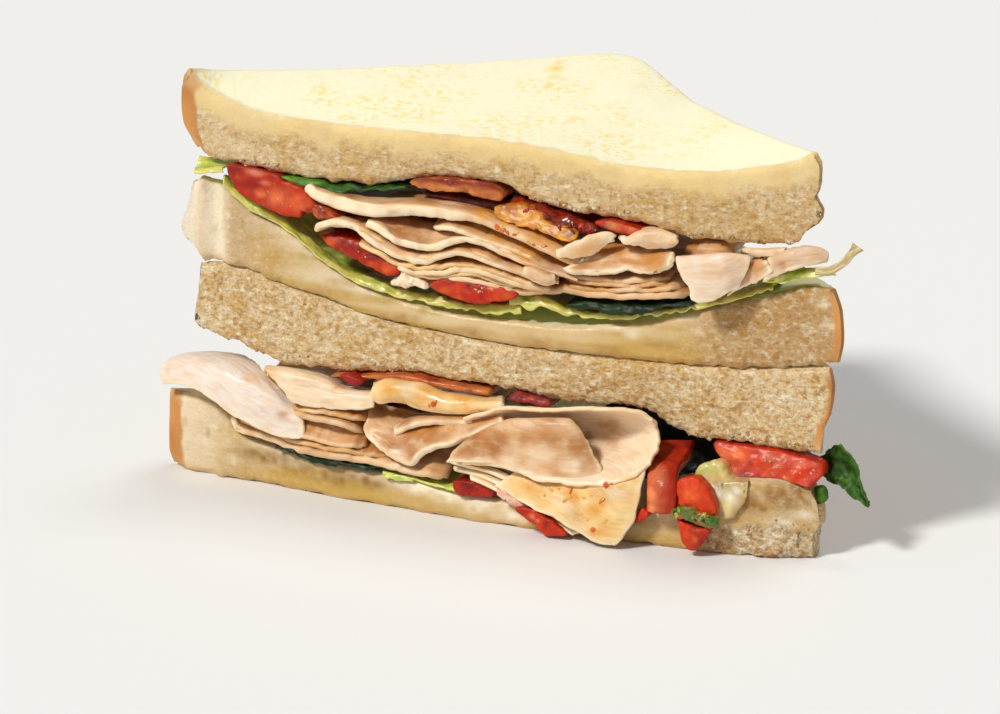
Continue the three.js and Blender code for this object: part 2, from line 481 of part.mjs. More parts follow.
const lowerFolds = {
  turkey_lower_drape: { ...turkey, cols: 10, rails: [
    [[-84.8, 24.8, -1.5], [-79, 24.4, 2.5], [-74, 22.4, 3.6], [-67, 18.6, 4.6], [-60, 17, 5.4]],
    [[-84.6, 27.2, -2.5], [-79, 27.4, 1], [-73, 26.4, 2], [-66, 23, 2.8], [-59, 21.6, 3.6]],
    [[-82, 29.4, -5], [-77, 30, -2], [-71, 30, -1], [-65, 28, 0], [-59, 26.6, 0.6]],
    [[-79, 30.4, -9], [-74, 31, -12], [-68, 30.6, -14], [-63, 30, -15], [-58, 29, -16]]] },
  turkey_lower_vee: { ...turkey, cols: 10, rows: 4, rails: [
    [[-33, 19, 4], [-29.5, 15, 6.6], [-25, 12.2, 8.4], [-20, 11, 9.4], [-16, 12.8, 9.4],
      [-12, 15, 9], [-8, 17, 8.6], [-4, 18.8, 8]],
    [[-32, 22, 2.6], [-28, 18.4, 3.4], [-23, 16.6, 4], [-18, 17, 4.4], [-14, 18.2, 4.6],
      [-11, 19.2, 4.8], [-8, 20.2, 5], [-5, 21, 5]],
    [[-31, 24, -6], [-26, 22.6, -7], [-22, 21.8, -8], [-18, 21.8, -8], [-13, 22, -8],
      [-10, 22.4, -7], [-7, 22.8, -5], [-5, 23, -3]]] },
  turkey_lower_tongue: { ...turkey, cols: 10, rows: 3, rails: [
    [[-9, 12.2, 9], [-2, 13.6, 10], [5, 16.2, 10.6], [13, 17, 10.8], [20, 16.6, 10.6],
      [27, 16.8, 10]],
    [[-9.5, 13, 9.8], [-3, 15.4, 10.8], [4, 19, 11.6], [12, 20.8, 12], [19, 21.2, 12],
      [25.6, 20.8, 11.2]],
    [[-10, 13.8, 9.4], [-4, 17.2, 10], [3, 21.2, 10.4], [11, 23.2, 10.8], [18, 24.2, 10.8],
      [22.6, 24.4, 10.4]]] },
  turkey_lower_bowl: { ...turkey, cols: 11, rows: 8, rails: [
    [[-4, 24, 7], [5, 26.3, 8.6], [14, 27.8, 9.6], [24, 29.2, 9.6], [33, 29.6, 8.6], [40, 28.8, 6.4]],
    [[-4, 23, 3.6], [5, 25.2, 3], [15, 25.8, 1], [25, 26.2, -1], [34, 26.6, -0.6], [42, 27, 3.8]],
    [[-4, 20, 2.6], [5, 20.4, 0], [15, 20.4, -3], [26, 20.6, -4.6], [36, 21.2, -1.6], [43.5, 24, 4.2]],
    [[-5, 17, 5], [5, 16.4, 5.4], [15, 15.4, 5.2], [26, 15.2, 5], [35, 16.5, 6.4], [42.5, 20, 6.8]],
    [[-6, 15, 7.9], [4, 14.2, 9.9], [14, 11.8, 12], [24, 10.8, 12.6], [33, 11.8, 12], [40, 15.5, 9.6]]] },
  turkey_lower_flap: { ...turkey, cols: 10, rows: 4, rails: [
    [[-2, 12.4, 6.6], [8, 11, 8.4], [18, 9, 9.6], [28, 8.8, 10.2], [36, 11, 9.4], [40.4, 14.4, 8]],
    [[0, 11, 9.4], [9, 9, 11], [18, 6.6, 12.2], [28, 6.2, 12.8], [35, 8, 12], [39.4, 11.5, 9.8]],
    [[2, 9.8, 10], [10, 6.8, 12], [18, 3.4, 13.4], [27, 2, 14], [33.6, 3, 13.4], [37.8, 6, 11.4]],
    [[4, 8.6, 10.2], [11, 4.8, 12.2], [19, 0.9, 13.6], [26, -2, 14.2], [31.5, -3.2, 14],
      [35.4, 1.5, 12.6]]] },
  turkey_lower_under: { ...turkey, cols: 8, rows: 3, rails: [
    [[-4, 8.6, 9.6], [2, 6.8, 10.2], [9, 3.8, 10.8], [16, 0.6, 11.4], [22, -2, 11.8]],
    [[-4, 10, 8.6], [4, 8.2, 9.2], [11, 5.2, 9.8], [18, 2, 10.2], [24, -0.2, 10.8]],
    [[-4, 10.8, 5.6], [5, 9.6, 7], [13, 7.2, 8], [20, 4.8, 9], [26, 3, 9.8]]] },
  tomato_lower_stick: { thickness: 3.8, cols: 6, rows: 3, rails: [
    [[44.4, 23, -5], [43, 20, -1.6], [42.6, 16, 4], [41.8, 12, 9.6], [41.4, 8.8, 10.8], [41.6, 6.6, 11]],
    [[48.6, 23.2, -5], [47.6, 20, -1.8], [45.4, 16, 4.4], [44.4, 12, 10.2], [44, 8.8, 11.6], [44, 6.4, 11.6]],
    [[53, 23.4, -6], [51.6, 20, -3.4], [48, 16, 3], [46.8, 12, 9.2], [46.4, 8.8, 10.6], [46, 7.2, 10.8]]]
    .map((rail) => rail.slice().reverse()).reverse() },
  lettuce_lower_rib: { thickness: 1.8, cols: 6, rows: 4, rails: [
    [[54.8, 12.6, 9.6], [57.4, 10.4, 11], [59.4, 9.4, 11.2], [61.4, 10.4, 10.8]],
    [[52.8, 13.6, 10.6], [56, 14, 11.4], [59.4, 13.2, 11.4], [62.4, 12.6, 11]],
    [[51.2, 15.6, 6], [55, 18.2, 7.4], [59, 17.4, 7.6], [61.6, 16.2, 8]],
    [[50.6, 16, -2], [53, 18.6, -2], [55.2, 18.8, -2], [57, 18.4, -2]]] },
  leaf_right: { ...leaf, cols: 8, rows: 4, rails: [
    [[81.6, 19.6, -4.4], [84, 18.4, -2.4], [87.4, 16, -0.8], [91, 13.8, 0.2], [94, 12.7, 0.6]],
    [[83.2, 21.2, -6], [85, 22, -4.6], [89, 20, -2.6], [92, 16.4, -0.8], [94.2, 13, 0.6]],
    [[82.2, 23, -6.8], [85.4, 27.4, -4.4], [89, 24.6, -2], [92.2, 18.6, -0.4], [94.6, 13.4, 0.6]]] },
  leaf_curl: { ...leaf, cols: 4, rows: 2, rails: [
    [[85, 11, -1.8], [86.2, 12, -2.8], [87, 13.4, -3.8]],
    [[84.4, 13.8, -1.6], [85.6, 14.6, -2.6], [86.6, 15.8, -3.6]],
    [[84, 15.8, -1.6], [85.2, 16.4, -2.4], [86.2, 17.2, -3.6]]] },
};

const upperChunks = {
  tomato_upper_left: { out: 2.4, lean: 1, depth: 14, cols: 8, line: [[-66.5, 77.8, 74.2],
    [-60, 77, 71], [-53, 75.4, 68.6], [-47, 72.6, 67.8], [-43.5, 71, 68.8]] },
  tomato_upper_middle: { out: 2.4, lean: 1.4, depth: 22, line: [[-42, 63.5, 61.6], [-38, 63.2, 59.8],
    [-32, 62.4, 57.2], [-27, 60.4, 55], [-23, 58.6, 55.4], [-20, 57.4, 56.6]] },
  tomato_upper_right: { out: 3, lean: 1, depth: 16, line: [[-14, 54.4, 52.4], [-10, 55.4, 51],
    [-4, 55.6, 49.8], [2, 54.6, 49.4], [7, 53.4, 50], [9, 52.6, 51]] },
  turkey_upper_scrap: { out: 2.4, depth: 8, cols: 6, line: [[-25, 54.6, 52.8], [-21, 56, 52.8],
    [-18, 55.4, 52.4], [-15, 53.6, 52.2]] },
  bacon_upper: { out: 2, depth: 15, line: [[-19.5, 77.4, 76.4], [-15, 78.2, 75.8],
    [-8, 78.4, 75.4], [-1, 77.8, 74.6], [4.4, 76, 73.8]] },
  relish_upper: { out: 2, lean: 2, depth: 22, line: [[6, 74.6, 72.6], [9, 75.6, 72.4], [12, 75.8, 72],
    [18, 74.6, 71], [24, 73, 70.4]] },
  tomato_upper_bit: { out: 1.6, depth: 12, cols: 6, line: [[27, 73.6, 72.2], [31, 73.6, 71.8],
    [35, 73.2, 70.8], [39.6, 72.6, 71.6]] },
};

const lowerChunks = {
  tomato_lower_left: { out: 8.8, depth: 16, cols: 6, line: [[-8, 7.6, 5.6], [-4, 8.2, 3.9],
    [0, 7.4, 3.7], [2.6, 6.2, 4.4]] },
  tomato_lower_front: { room: null, out: 12.6, depth: 4, line: [[6, 2.2, 1], [10, 1.8, -0.8],
    [14, 0, -3.1], [18, -1.5, -3.2], [20.4, -2.4, -3]] },
  tomato_lower_slice: { out: 0.6, lean: 4, depth: 30, line: [[57, 24, 18], [63, 24, 17.6],
    [70, 23.8, 17.4], [77, 22.8, 17], [80.4, 21.6, 17.4]] },
  tomato_lower_wedge: { room: null, out: 12, depth: 3.4, cols: 5, line: [[48.2, 9.4, 8], [50, 12.2, 7.4],
    [52, 12, 7.2], [54.4, 9.8, 7.4], [55.6, 8.8, 7.8]] },
  tomato_lower_tip: { room: null, out: 12.4, depth: 4, cols: 5, line: [[47.4, 4.2, 2], [49.6, 3.8, -2.3],
    [52, 3.6, -2.3], [55.2, 3.2, 2]] },
  tomato_lower_chip: { room: null, out: 12, depth: 3, cols: 4, line: [[38.1, 6, 4.2], [39.5, 7.6, 3.8],
    [40.7, 6, 5.4]] },
  tomato_lower_bit: { out: 5.4, depth: 4, cols: 4, line: [[-39, 28.6, 27.6], [-35, 29.4, 27.4],
    [-31.4, 28.8, 27.8]] },
  bacon_lower: { out: 1, depth: 26, line: [[-33, 30.4, 29.4], [-28, 30.8, 29.6],
    [-20, 31.6, 30.2], [-12, 31, 29.8], [-5, 31, 29.6], [1, 30.2, 29.2]] },
  bacon_lower_bit: { out: 2, depth: 14, cols: 5, line: [[5, 29.2, 28.4], [10, 29.8, 28.2],
    [16.4, 29.2, 28.4]] },
  herb_lower: { room: null, out: 11.4, depth: 3, cols: 5, line: [[46.4, 6, 5.4], [49, 6.8, 4.9],
    [53, 6.2, 4.6], [57.4, 5.4, 4.6]] },
};

/** Named pieces of one kind, each with the function that shapes it. */
function shaped(table, shape, extra = {}) {
  return Object.entries(table).map(([name, values]) => ({
    name,
    make: (grow) => shape({ ...extra, ...values }, grow),
  }));
}

const loaf = { base, lower_middle: lowerMiddle, upper_middle: upperMiddle, top: topSlice };
const breads = Object.entries(loaf).map(([name, slice]) => ({
  name: `bread_${name}`,
  make: (grow) => slice.solid(grow),
}));

// The first pieces keep their shape; later ones are cut back where they would run into them.
const pieces = [
  ...breads,
  ...shaped(upperChunks, chunkSolid, { room: upperRoom }),
  ...shaped(lowerChunks, chunkSolid, { room: lowerRoom }),
  ...shaped(upperFolds, foldSolid),
  ...shaped(lowerFolds, foldSolid),
  ...shaped(upperLayers, layerSolid, { room: upperRoom }),
  ...shaped(lowerLayers, layerSolid, { room: lowerRoom }),
];

// ---------------------------------------------------------------- fitting them together

function toManifold(geometry) {
  const merged = mergeVertices(geometry, 1e-4);
  return new wasm.Manifold(new wasm.Mesh({
    numProp: 3,
    vertProperties: Float32Array.from(merged.attributes.position.array),
    triVerts: Uint32Array.from(merged.index.array),
  }));
}

function toGeometry(solid) {
  const mesh = solid.getMesh();
  const geometry = new THREE.BufferGeometry();
  geometry.setAttribute('position', new THREE.BufferAttribute(mesh.vertProperties, 3));
  geometry.setIndex(new THREE.BufferAttribute(mesh.triVerts, 1));
  return geometry;
}

const SCRAP_TOLERANCE = 0.02;    // faces and edges finer than this are dropped after a cut

/** Cuts each piece back from those before it, and keeps its largest remaining part. */
function fitted(list) {
  const done = [];
  list.forEach(({ name, make }) => {
    let solid = toManifold(make(0));
    const whole = solid.volume();
    done.forEach((other) => {
      if (solid.intersect(other.solid).volume() > 0) solid = solid.subtract(other.grown);
    });
    if (solid.volume() < whole) {
      const parts = solid.decompose().sort((a, b) => b.volume() - a.volume());
      solid = parts[0].simplify(SCRAP_TOLERANCE);
    }
    done.push({ name, solid, grown: toManifold(make(GAP)) });
  });
  return done;
}

// ---------------------------------------------------------------- colours and the group

const finishes = {
  bread: { color: '#ecd9a8', roughness: 0.95 },
  turkey: { color: '#e6c39a', roughness: 0.45 },
  tomato: { color: '#c4532f', roughness: 0.25 },
  bacon: { color: '#a9522a', roughness: 0.4 },
  relish: { color: '#b2441c', roughness: 0.3 },
  lettuce: { color: '#a9a648', roughness: 0.5 },
  leaf: { color: '#31491c', roughness: 0.45 },
  herb: { color: '#5a5a1e', roughness: 0.6 },
  shred: { color: '#d9cfa4', roughness: 0.5 },
};

const sandwich = new THREE.Group();
sandwich.position.y = CUT_FACE_Y;
fitted(pieces).forEach(({ name, solid }) => {
  const finish = finishes[name.split('_')[0]];
  const material = new THREE.MeshStandardMaterial({ ...finish, metalness: 0 });
  const mesh = new THREE.Mesh(toGeometry(solid), material);
  mesh.name = name;
  sandwich.add(mesh);
});

export default sandwich;
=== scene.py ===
# %% [markdown]
# # A club sandwich
# Two triangular halves of a toasted sandwich lie one on the other, cut face forward. Each half is two
# slices of soft white bread round folded turkey, tomato, bacon and leaves. The solids come from the
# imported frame. Every piece here is a finer surface in the same place: a shape worked out with numpy as
# whole arrays, then painted by a node material.

# %% Load the frame
import math

import bpy
import numpy as np
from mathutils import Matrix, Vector
from mathutils.bvhtree import BVHTree


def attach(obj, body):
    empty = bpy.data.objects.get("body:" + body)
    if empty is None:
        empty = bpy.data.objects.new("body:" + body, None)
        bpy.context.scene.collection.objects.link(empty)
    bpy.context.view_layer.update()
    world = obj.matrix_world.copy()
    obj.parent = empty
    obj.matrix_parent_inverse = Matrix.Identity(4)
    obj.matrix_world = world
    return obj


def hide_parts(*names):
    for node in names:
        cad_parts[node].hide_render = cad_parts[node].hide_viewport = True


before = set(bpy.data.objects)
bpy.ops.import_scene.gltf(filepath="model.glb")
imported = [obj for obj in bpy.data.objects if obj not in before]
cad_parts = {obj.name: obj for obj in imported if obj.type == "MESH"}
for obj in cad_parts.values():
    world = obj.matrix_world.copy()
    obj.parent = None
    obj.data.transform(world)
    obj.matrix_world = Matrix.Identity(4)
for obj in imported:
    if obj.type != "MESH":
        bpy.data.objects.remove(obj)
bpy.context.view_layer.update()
print("nodes in the frame:", len(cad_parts))

# %% [markdown]
# ## Camera, light and floor
# The camera stands a little to the right of the cut face and a little above it, far away, so that the
# layers stay nearly parallel. A soft sun over the top makes the toast nearly white, a second one from
# the front left reaches into the filling, and the bright room fills the shadows.

# %% Camera
MM = 0.001
CUT_FACE_Y = -27.0               # the cut face stands this far in front of the origin, in mm


def view_direction(azimuth, elevation):
    """Unit vector from the object to an eye at that azimuth and elevation, in degrees."""
    a, e = math.radians(azimuth), math.radians(elevation)
    return np.array([math.sin(a) * math.cos(e), -math.cos(a) * math.cos(e), math.sin(e)])


EYE_TARGET = np.array([3.6, CUT_FACE_Y, 38.6])
EYE_DISTANCE = 932.0
eye = EYE_TARGET + EYE_DISTANCE * view_direction(azimuth=22.0, elevation=16.5)
camera_data = bpy.data.cameras.new("camera")
camera_data.lens = 144.0
camera_data.sensor_width = 36.0
camera = bpy.data.objects.new("camera", camera_data)
camera.location = eye * MM
bpy.context.scene.collection.objects.link(camera)
bpy.context.scene.camera = camera


def aim(thing, target):
    """Turns a camera or light so that its -Z axis points at the target, in mm."""
    direction = Vector(target * MM) - thing.location
    thing.rotation_euler = direction.to_track_quat("-Z", "Y").to_euler()


aim(camera, EYE_TARGET)
print("eye in mm:", np.round(eye, 1))


# %% Lights and world
STACK_MIDDLE = np.array([0.0, 0.0, 45.0])
LAMP_DISTANCE = 600.0            # in mm, only to show where a sun stands


def soft_sun(name, azimuth, elevation, strength, spread, colour=(1, 1, 1)):
    """A lamp so far off that it lights everything alike; `spread` in degrees softens its shadows."""
    data = bpy.data.lights.new(name, "SUN")
    data.energy = strength
    data.angle = math.radians(spread)
    data.color = colour
    lamp = bpy.data.objects.new(name, data)
    lamp.location = (STACK_MIDDLE + LAMP_DISTANCE * view_direction(azimuth, elevation)) * MM
    bpy.context.scene.collection.objects.link(lamp)
    aim(lamp, STACK_MIDDLE)


soft_sun("light_top", azimuth=150.0, elevation=68.0, strength=0.8, spread=25.0, colour=(1.0, 0.99, 0.96))
soft_sun("light_front", azimuth=-28.0, elevation=46.0, strength=2.45, spread=10.0,
         colour=(1.0, 0.985, 0.95))

world = bpy.data.worlds.new("bright_room")
world.use_nodes = True
background = world.node_tree.nodes["Background"].inputs
background["Color"].default_value = (1.0, 1.0, 1.0, 1.0)
background["Strength"].default_value = 0.26
bpy.context.scene.world = world
bpy.context.scene.view_settings.view_transform = "Standard"

# %% [markdown]
# ## Curves and noise
# Edges of bread and meat are drawn as smooth curves through a few known places. Their numbers are kept
# as text, a row between commas, so that a whole edge fits on a line or two. The curve never overshoots
# its knots, which matters where a layer runs close to the bread. Crumb, fibres and folds come from
# noise: random numbers on a grid, blended smoothly, in one or several sizes.


# %% Tables of numbers
def rows(text):
    """The rows of a table. A number left out at the end of a row is the same as in the row before."""
    table = []
    for row in text.split(",") if text else ():
        values = [float(word) for word in row.split()]
        table.append(values + table[-1][len(values):] if table else values)
    return table


# %% Smooth curves
def curve(knots, column=1):
    """Cubic through knots of x and a value. Each slope is the harmonic mean of those beside it."""
    table = np.array(rows(knots) if isinstance(knots, str) else knots)
    xs, ys = table[:, 0], table[:, column]
    step = np.diff(ys) / np.diff(xs)
    slope = np.zeros(len(xs))
    slope[0], slope[-1] = step[0], step[-1]
    same_way = step[1:] * step[:-1] > 0
    total = np.where(same_way, step[1:] + step[:-1], 1.0)
    slope[1:-1] = np.where(same_way, 2 * step[1:] * step[:-1] / total, 0.0)

    def value(x):
        x = np.clip(np.asarray(x, float), xs[0], xs[-1])
        i = np.clip(np.searchsorted(xs, x, side="right") - 1, 0, len(xs) - 2)
        span = xs[i + 1] - xs[i]
        t = (x - xs[i]) / span
        ends = ys[i] * (2 * t**3 - 3 * t**2 + 1) + ys[i + 1] * (3 * t**2 - 2 * t**3)
        bends = slope[i] * (t**3 - 2 * t**2 + t) + slope[i + 1] * (t**3 - t**2)
        return ends + bends * span

    return value


print("a curve halfway between two knots:", float(curve("0 0, 10 5")(5.0)))


def places(x, y, z):
    """Places in mm: arrays of x, y and z spread to one shape and joined, with the axes last."""
    return np.stack(np.broadcast_arrays(x, y, z), axis=-1)


def mix(a, b, t):
    """The value a share t of the way from a to b."""
    return a + (b - a) * t


def ease(t, low=0.0, high=1.0):
    """An S-curve from 0 at `low` to 1 at `high`."""
    t = np.clip((np.asarray(t, float) - low) / (high - low), 0, 1)
    return t * t * (3 - 2 * t)


# %% Noise
def scramble(i, j, k, seed):
    """A fixed random number from -1 to 1 for each corner of the grid, by mixing its whole numbers."""
    h = (i * 374761393 + j * 668265263 + k * 1440662683 + seed * 1274126177) & 0xFFFFFFFF
    h = ((h ^ (h >> 13)) * 1274126177) & 0xFFFFFFFF
    h = ((h ^ (h >> 16)) * 2246822519) & 0xFFFFFFFF
    return ((h ^ (h >> 15)) & 0xFFFF) / 32767.5 - 1.0


def noise(points, size, seed=0):
    """Smooth noise from -1 to 1: the corners of cells `size` mm wide, blended by S-curves."""
    place = np.asarray(points, float) / size
    cell = np.floor(place).astype(np.int64)
    part = ease(place - cell)
    total = np.zeros(place.shape[:-1])
    for corner in np.ndindex(2, 2, 2):
        weight = np.prod(np.where(corner, part, 1 - part), axis=-1)
        total += weight * scramble(*np.moveaxis(cell + corner, -1, 0), seed)
    return total


def rough(points, size, octaves=3, seed=0):
    """Noise of several sizes added up, each half as wide and half as strong as the one before."""
    return sum(noise(points, size / 2**n, seed + 17 * n) / 2**n for n in range(octaves))


print("noise at one place:", np.round(rough(np.array([[1.0, 2.0, 3.0]]), 4.0), 3))

# %% [markdown]
# ## Colours
# Food colours are named once, as they look in daylight, and turned into the light values that Blender
# works with. A surface gets its main colour as a value on each point, mixed from these by height, edge
# and noise, and the material adds the finest grain.


# %% Named colours
def daylight(red, green, blue):
    """A screen colour of 0 to 255 as linear light."""
    c = np.array([red, green, blue]) / 255.0
    return np.where(c <= 0.04045, c / 12.92, ((c + 0.055) / 1.055) ** 2.4)


TOAST_WHITE = daylight(248, 243, 210)
TOAST_RIM = daylight(238, 212, 148)
CRUMB_WET = daylight(206, 168, 84)
CRUMB_WHITE = daylight(250, 238, 214)
CRUST_GOLD = daylight(214, 150, 84)
CRUST_BROWN = daylight(176, 108, 54)
MEAT = daylight(213, 151, 79)
MEAT_TAN = daylight(178, 114, 49)
# MEAT_SHADE is painted shade: the brown of meat deep in the food and in cast shadows.
MEAT_SHADE = daylight(140, 88, 42)
MEAT_LIP = daylight(253, 234, 200)
MEAT_CREAM = daylight(240, 206, 148)
MEAT_PALE = daylight(246, 222, 190)
MEAT_SAUCE = daylight(232, 164, 60)
TOMATO_FLESH = daylight(216, 62, 14)
TOMATO_DEEP = daylight(148, 22, 6)
TOMATO_PALE = daylight(232, 120, 66)
BACON_RED = daylight(146, 46, 24)
BACON_FAT = daylight(216, 134, 62)
RELISH_RED = daylight(150, 32, 10)
RELISH_GOLD = daylight(224, 138, 26)
LETTUCE_LIGHT = daylight(216, 220, 112)
LETTUCE_GREEN = daylight(136, 168, 42)
LETTUCE_RIB = daylight(240, 232, 176)
LETTUCE_MILKY = daylight(222, 190, 112)
LEAF_DARK = daylight(14, 30, 8)
LEAF_BRIGHT = daylight(64, 110, 30)
SHRED_PALE = daylight(222, 206, 160)
SHRED_BROWN = daylight(168, 136, 88)


def blended(a, b, share):
    """Colours mixed point by point: share 0 gives a, share 1 gives b."""
    return a + (b - a) * np.clip(share, 0, 1)[..., None]


print("toast as light:", np.round(TOAST_WHITE, 3))

# %% [markdown]
# ## From arrays to meshes
# A surface is an array of points, rows by columns. Three helpers close such arrays into solids: one for
# rows of loops round a slice, one for a thin sheet with a rounded rim, and one for a lump.


# %% Mesh helpers
pieces = {}


def outward(grid, wrap=False):
    """Unit normals of a grid of points, from the cross product of its two directions."""
    if wrap:
        padded = np.concatenate([grid[:, -1:], grid, grid[:, :1]], axis=1)
        across = np.gradient(padded, axis=1)[:, 1:-1]
    else:
        across = np.gradient(grid, axis=1)
    normal = np.cross(across, np.gradient(grid, axis=0))
    return normal / np.maximum(np.linalg.norm(normal, axis=-1, keepdims=True), 1e-9)


def quads(ids, wrap=False):
    """The four corners of every cell in a grid of point numbers."""
    if wrap:
        ids = np.concatenate([ids, ids[:, :1]], axis=1)
    return np.stack([ids[:-1, :-1], ids[:-1, 1:], ids[1:, 1:], ids[1:, :-1]], axis=-1).reshape(-1, 4)


def make_piece(name, points, faces, values, finish, slot, uv=None):
    """A smooth mesh object from points in mm, with its colours and other values kept on the points. It
    stands for the node of its name, if there is one."""
    mesh = bpy.data.meshes.new(name + "_soft")
    shifted = points + np.array([0.0, CUT_FACE_Y, 0.0])
    mesh.from_pydata((shifted * MM).tolist(), [], [face.tolist() for face in faces])
    mesh.polygons.foreach_set("use_smooth", np.ones(len(mesh.polygons), bool))
    for key, value in values.items():
        if value.ndim == 2:
            layer = mesh.color_attributes.new(key, "FLOAT_COLOR", "POINT")
            rgba = np.concatenate([value, np.ones((len(value), 1))], axis=1)
            layer.data.foreach_set("color", rgba.astype(np.float32).ravel())
        else:
            layer = mesh.attributes.new(key, "FLOAT", "POINT")
            layer.data.foreach_set("value", value.astype(np.float32).ravel())
    if uv is not None:
        corner = np.zeros(len(mesh.loops), np.int32)
        mesh.loops.foreach_get("vertex_index", corner)
        mesh.uv_layers.new(name="surface").data.foreach_set("uv", uv[corner].astype(np.float32).ravel())
    mesh.materials.append(finish)
    mesh.update()
    thing = bpy.data.objects.new(name + "_soft", mesh)
    bpy.context.scene.collection.objects.link(thing)
    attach(thing, "root")
    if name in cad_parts:
        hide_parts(name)
    pieces[name] = thing
    return thing


# %% [markdown]
# ## Node materials
# A finish starts from the colour on the points. Noise in the object's own coordinates breaks it up, and
# a bump adds grain too fine for the mesh. A few short helpers keep each recipe readable.


# %% Material helpers
class Finish:
    """One node material under construction."""

    def __init__(self, name, **shader):
        self.material = bpy.data.materials.new(name)
        self.material.use_nodes = True
        self.tree = self.material.node_tree
        self.shader = self.tree.nodes["Principled BSDF"]
        for key, value in shader.items():
            self.shader.inputs[key.replace("_", " ").title().replace("Ior", "IOR")].default_value = value
        self.place = self.node("ShaderNodeTexCoord").outputs["Object"]
        self.surface = self.node("ShaderNodeTexCoord").outputs["UV"]

    def node(self, kind, **inputs):
        """Adds a node; sockets are joined and plain values are set by input name."""
        node = self.tree.nodes.new(kind)
        for key, value in inputs.items():
            self.put(node.inputs[key.replace("_", " ").title()], value)
        return node

    def put(self, socket, value):
        """Joins an output to the socket, or sets it to a plain value."""
        if isinstance(value, bpy.types.NodeSocket):
            self.tree.links.new(value, socket)
        else:
            socket.default_value = value

    def value(self, key, colour=False):
        """The value kept on the points under that name."""
        node = self.node("ShaderNodeAttribute")
        node.attribute_name = key
        return node.outputs["Color" if colour else "Fac"]

    def noise(self, size, detail=2.0, stretch=(1, 1, 1), roughness=0.55, source=None):
        """Noise with features `size` mm wide, 0 to 1, longer along an axis where stretch is over 1."""
        source = source or self.place
        unit = MM if source == self.place else 1.0
        spread = self.node("ShaderNodeMapping", Vector=source)
        self.put(spread.inputs["Scale"], tuple(1 / (size * unit * s) for s in stretch))
        node = self.node("ShaderNodeTexNoise", Vector=spread.outputs[0], Scale=1.0, Detail=detail)
        node.inputs["Roughness"].default_value = roughness
        return node.outputs["Fac"]

    def between(self, value, low, high, out_low=0.0, out_high=1.0):
        """The value's place between low and high, smoothly, as a number from out_low to out_high."""
        node = self.node("ShaderNodeMapRange", Value=value)
        node.interpolation_type = "SMOOTHSTEP"
        ends = {"From Min": low, "From Max": high, "To Min": out_low, "To Max": out_high}
        for key, number in ends.items():
            self.put(node.inputs[key], number)
        return node.outputs[0]

    def product(self, a, b):
        """Two values multiplied."""
        node = self.node("ShaderNodeMath")
        node.operation = "MULTIPLY"
        self.put(node.inputs[0], a)
        self.put(node.inputs[1], b)
        return node.outputs[0]

    def blend(self, share, a, b, how="MIX"):
        """Two colours mixed by a share, or multiplied and so on where `how` says so."""
        node = self.node("ShaderNodeMix")
        node.data_type = "RGBA"
        node.blend_type = how
        self.put(node.inputs[0], share)
        for socket, colour in ((node.inputs[6], a), (node.inputs[7], b)):
            plain = not isinstance(colour, bpy.types.NodeSocket)
            self.put(socket, (*map(float, colour), 1.0) if plain else colour)
        return node.outputs[2]

    def stain(self, share, tint, factor):
        """The tint, multiplied by a factor for red, green and blue where the share is 1."""
        return self.blend(share, tint, self.blend(1.0, tint, factor, "MULTIPLY"))

    def colour(self, tint):
        """Gives the surface its colour."""
        self.put(self.shader.inputs["Base Color"], tint)

    def bump(self, height, depth, strength=1.0):
        """Makes the surface look raised by `depth` mm where height is 1."""
        before = self.shader.inputs["Normal"]
        node = self.node("ShaderNodeBump", Height=height, Strength=strength, Distance=depth * MM)
        if before.is_linked:
            self.put(node.inputs["Normal"], before.links[0].from_socket)
        self.put(before, node.outputs[0])


# %% [markdown]
# ## Bread
# A slice is a triangle: the cut runs along X, and two crust sides meet at a rounded corner behind. It
# could be a block bent by modifiers, but then its edges would only roughly meet the filling. So its top
# and bottom are given at the cut and at the crust, and eased between them, and the slice sags where it
# should. Loops round the slice, one for each x, carry every face in one mesh.


# %% Slice shapes
APEX_X, APEX_Y, APEX_ROUND = 4.0, 84.0, 16.0
TIP_BLUNT, CRUST_ROUND, CRUST_INSET = 6.0, 3.0, 5.0


def soft_min(a, b, width):
    """The lower of two heights, with the corner between them rounded over `width`."""
    overlap = np.maximum(width - np.abs(a - b), 0) / width
    return np.minimum(a, b) - overlap * overlap * width / 4


class Slice:
    """One slice of bread: its ends, forward bulge, and heights at the cut and at the crust."""

    def __init__(self, left, right, bulge, top, bottom, crust_top, crust_bottom, left_end, right_end):
        self.left, self.right = left, right
        self.left_end, self.right_end = curve(left_end), curve(right_end)
        self.front = curve(bulge)
        self.cut_top, self.cut_bottom = curve(top), curve(bottom)
        self.crust_top, self.crust_bottom = curve(crust_top), curve(crust_bottom)

    def back(self, x):
        """Depth of the triangle: blunt tips, straight crust sides and a rounded corner."""
        def side(run, whole):
            reach = lambda d: np.sqrt(d * d + 2 * TIP_BLUNT * d)
            return APEX_Y * reach(np.maximum(run, 0)) / reach(whole)
        both = soft_min(side(x - self.left, APEX_X - self.left),
                        side(self.right - x, self.right - APEX_X), APEX_ROUND)
        return np.maximum(self.front(x), 0) + np.maximum(both, 0.8)

    def depth(self, x, y):
        """0 at the cut, eased to 1 at the crust."""
        front = self.front(x)
        return ease((y - front) / (self.back(x) - front))

    def end_shift(self, x, level):
        """How far each share of the height is pushed inwards along x, fading out 9 mm from the tip."""
        return (self.left_end(level) * ease(self.left - x, -9, 0)
                - self.right_end(level) * ease(x - self.right, -9, 0))

    def top_at(self, x, y):
        """Height of the upper face."""
        return mix(self.cut_top(x), self.crust_top(x), self.depth(x, y))

    def bottom_at(self, x, y):
        """Height of the lower face."""
        return mix(self.cut_bottom(x), self.crust_bottom(x), self.depth(x, y))


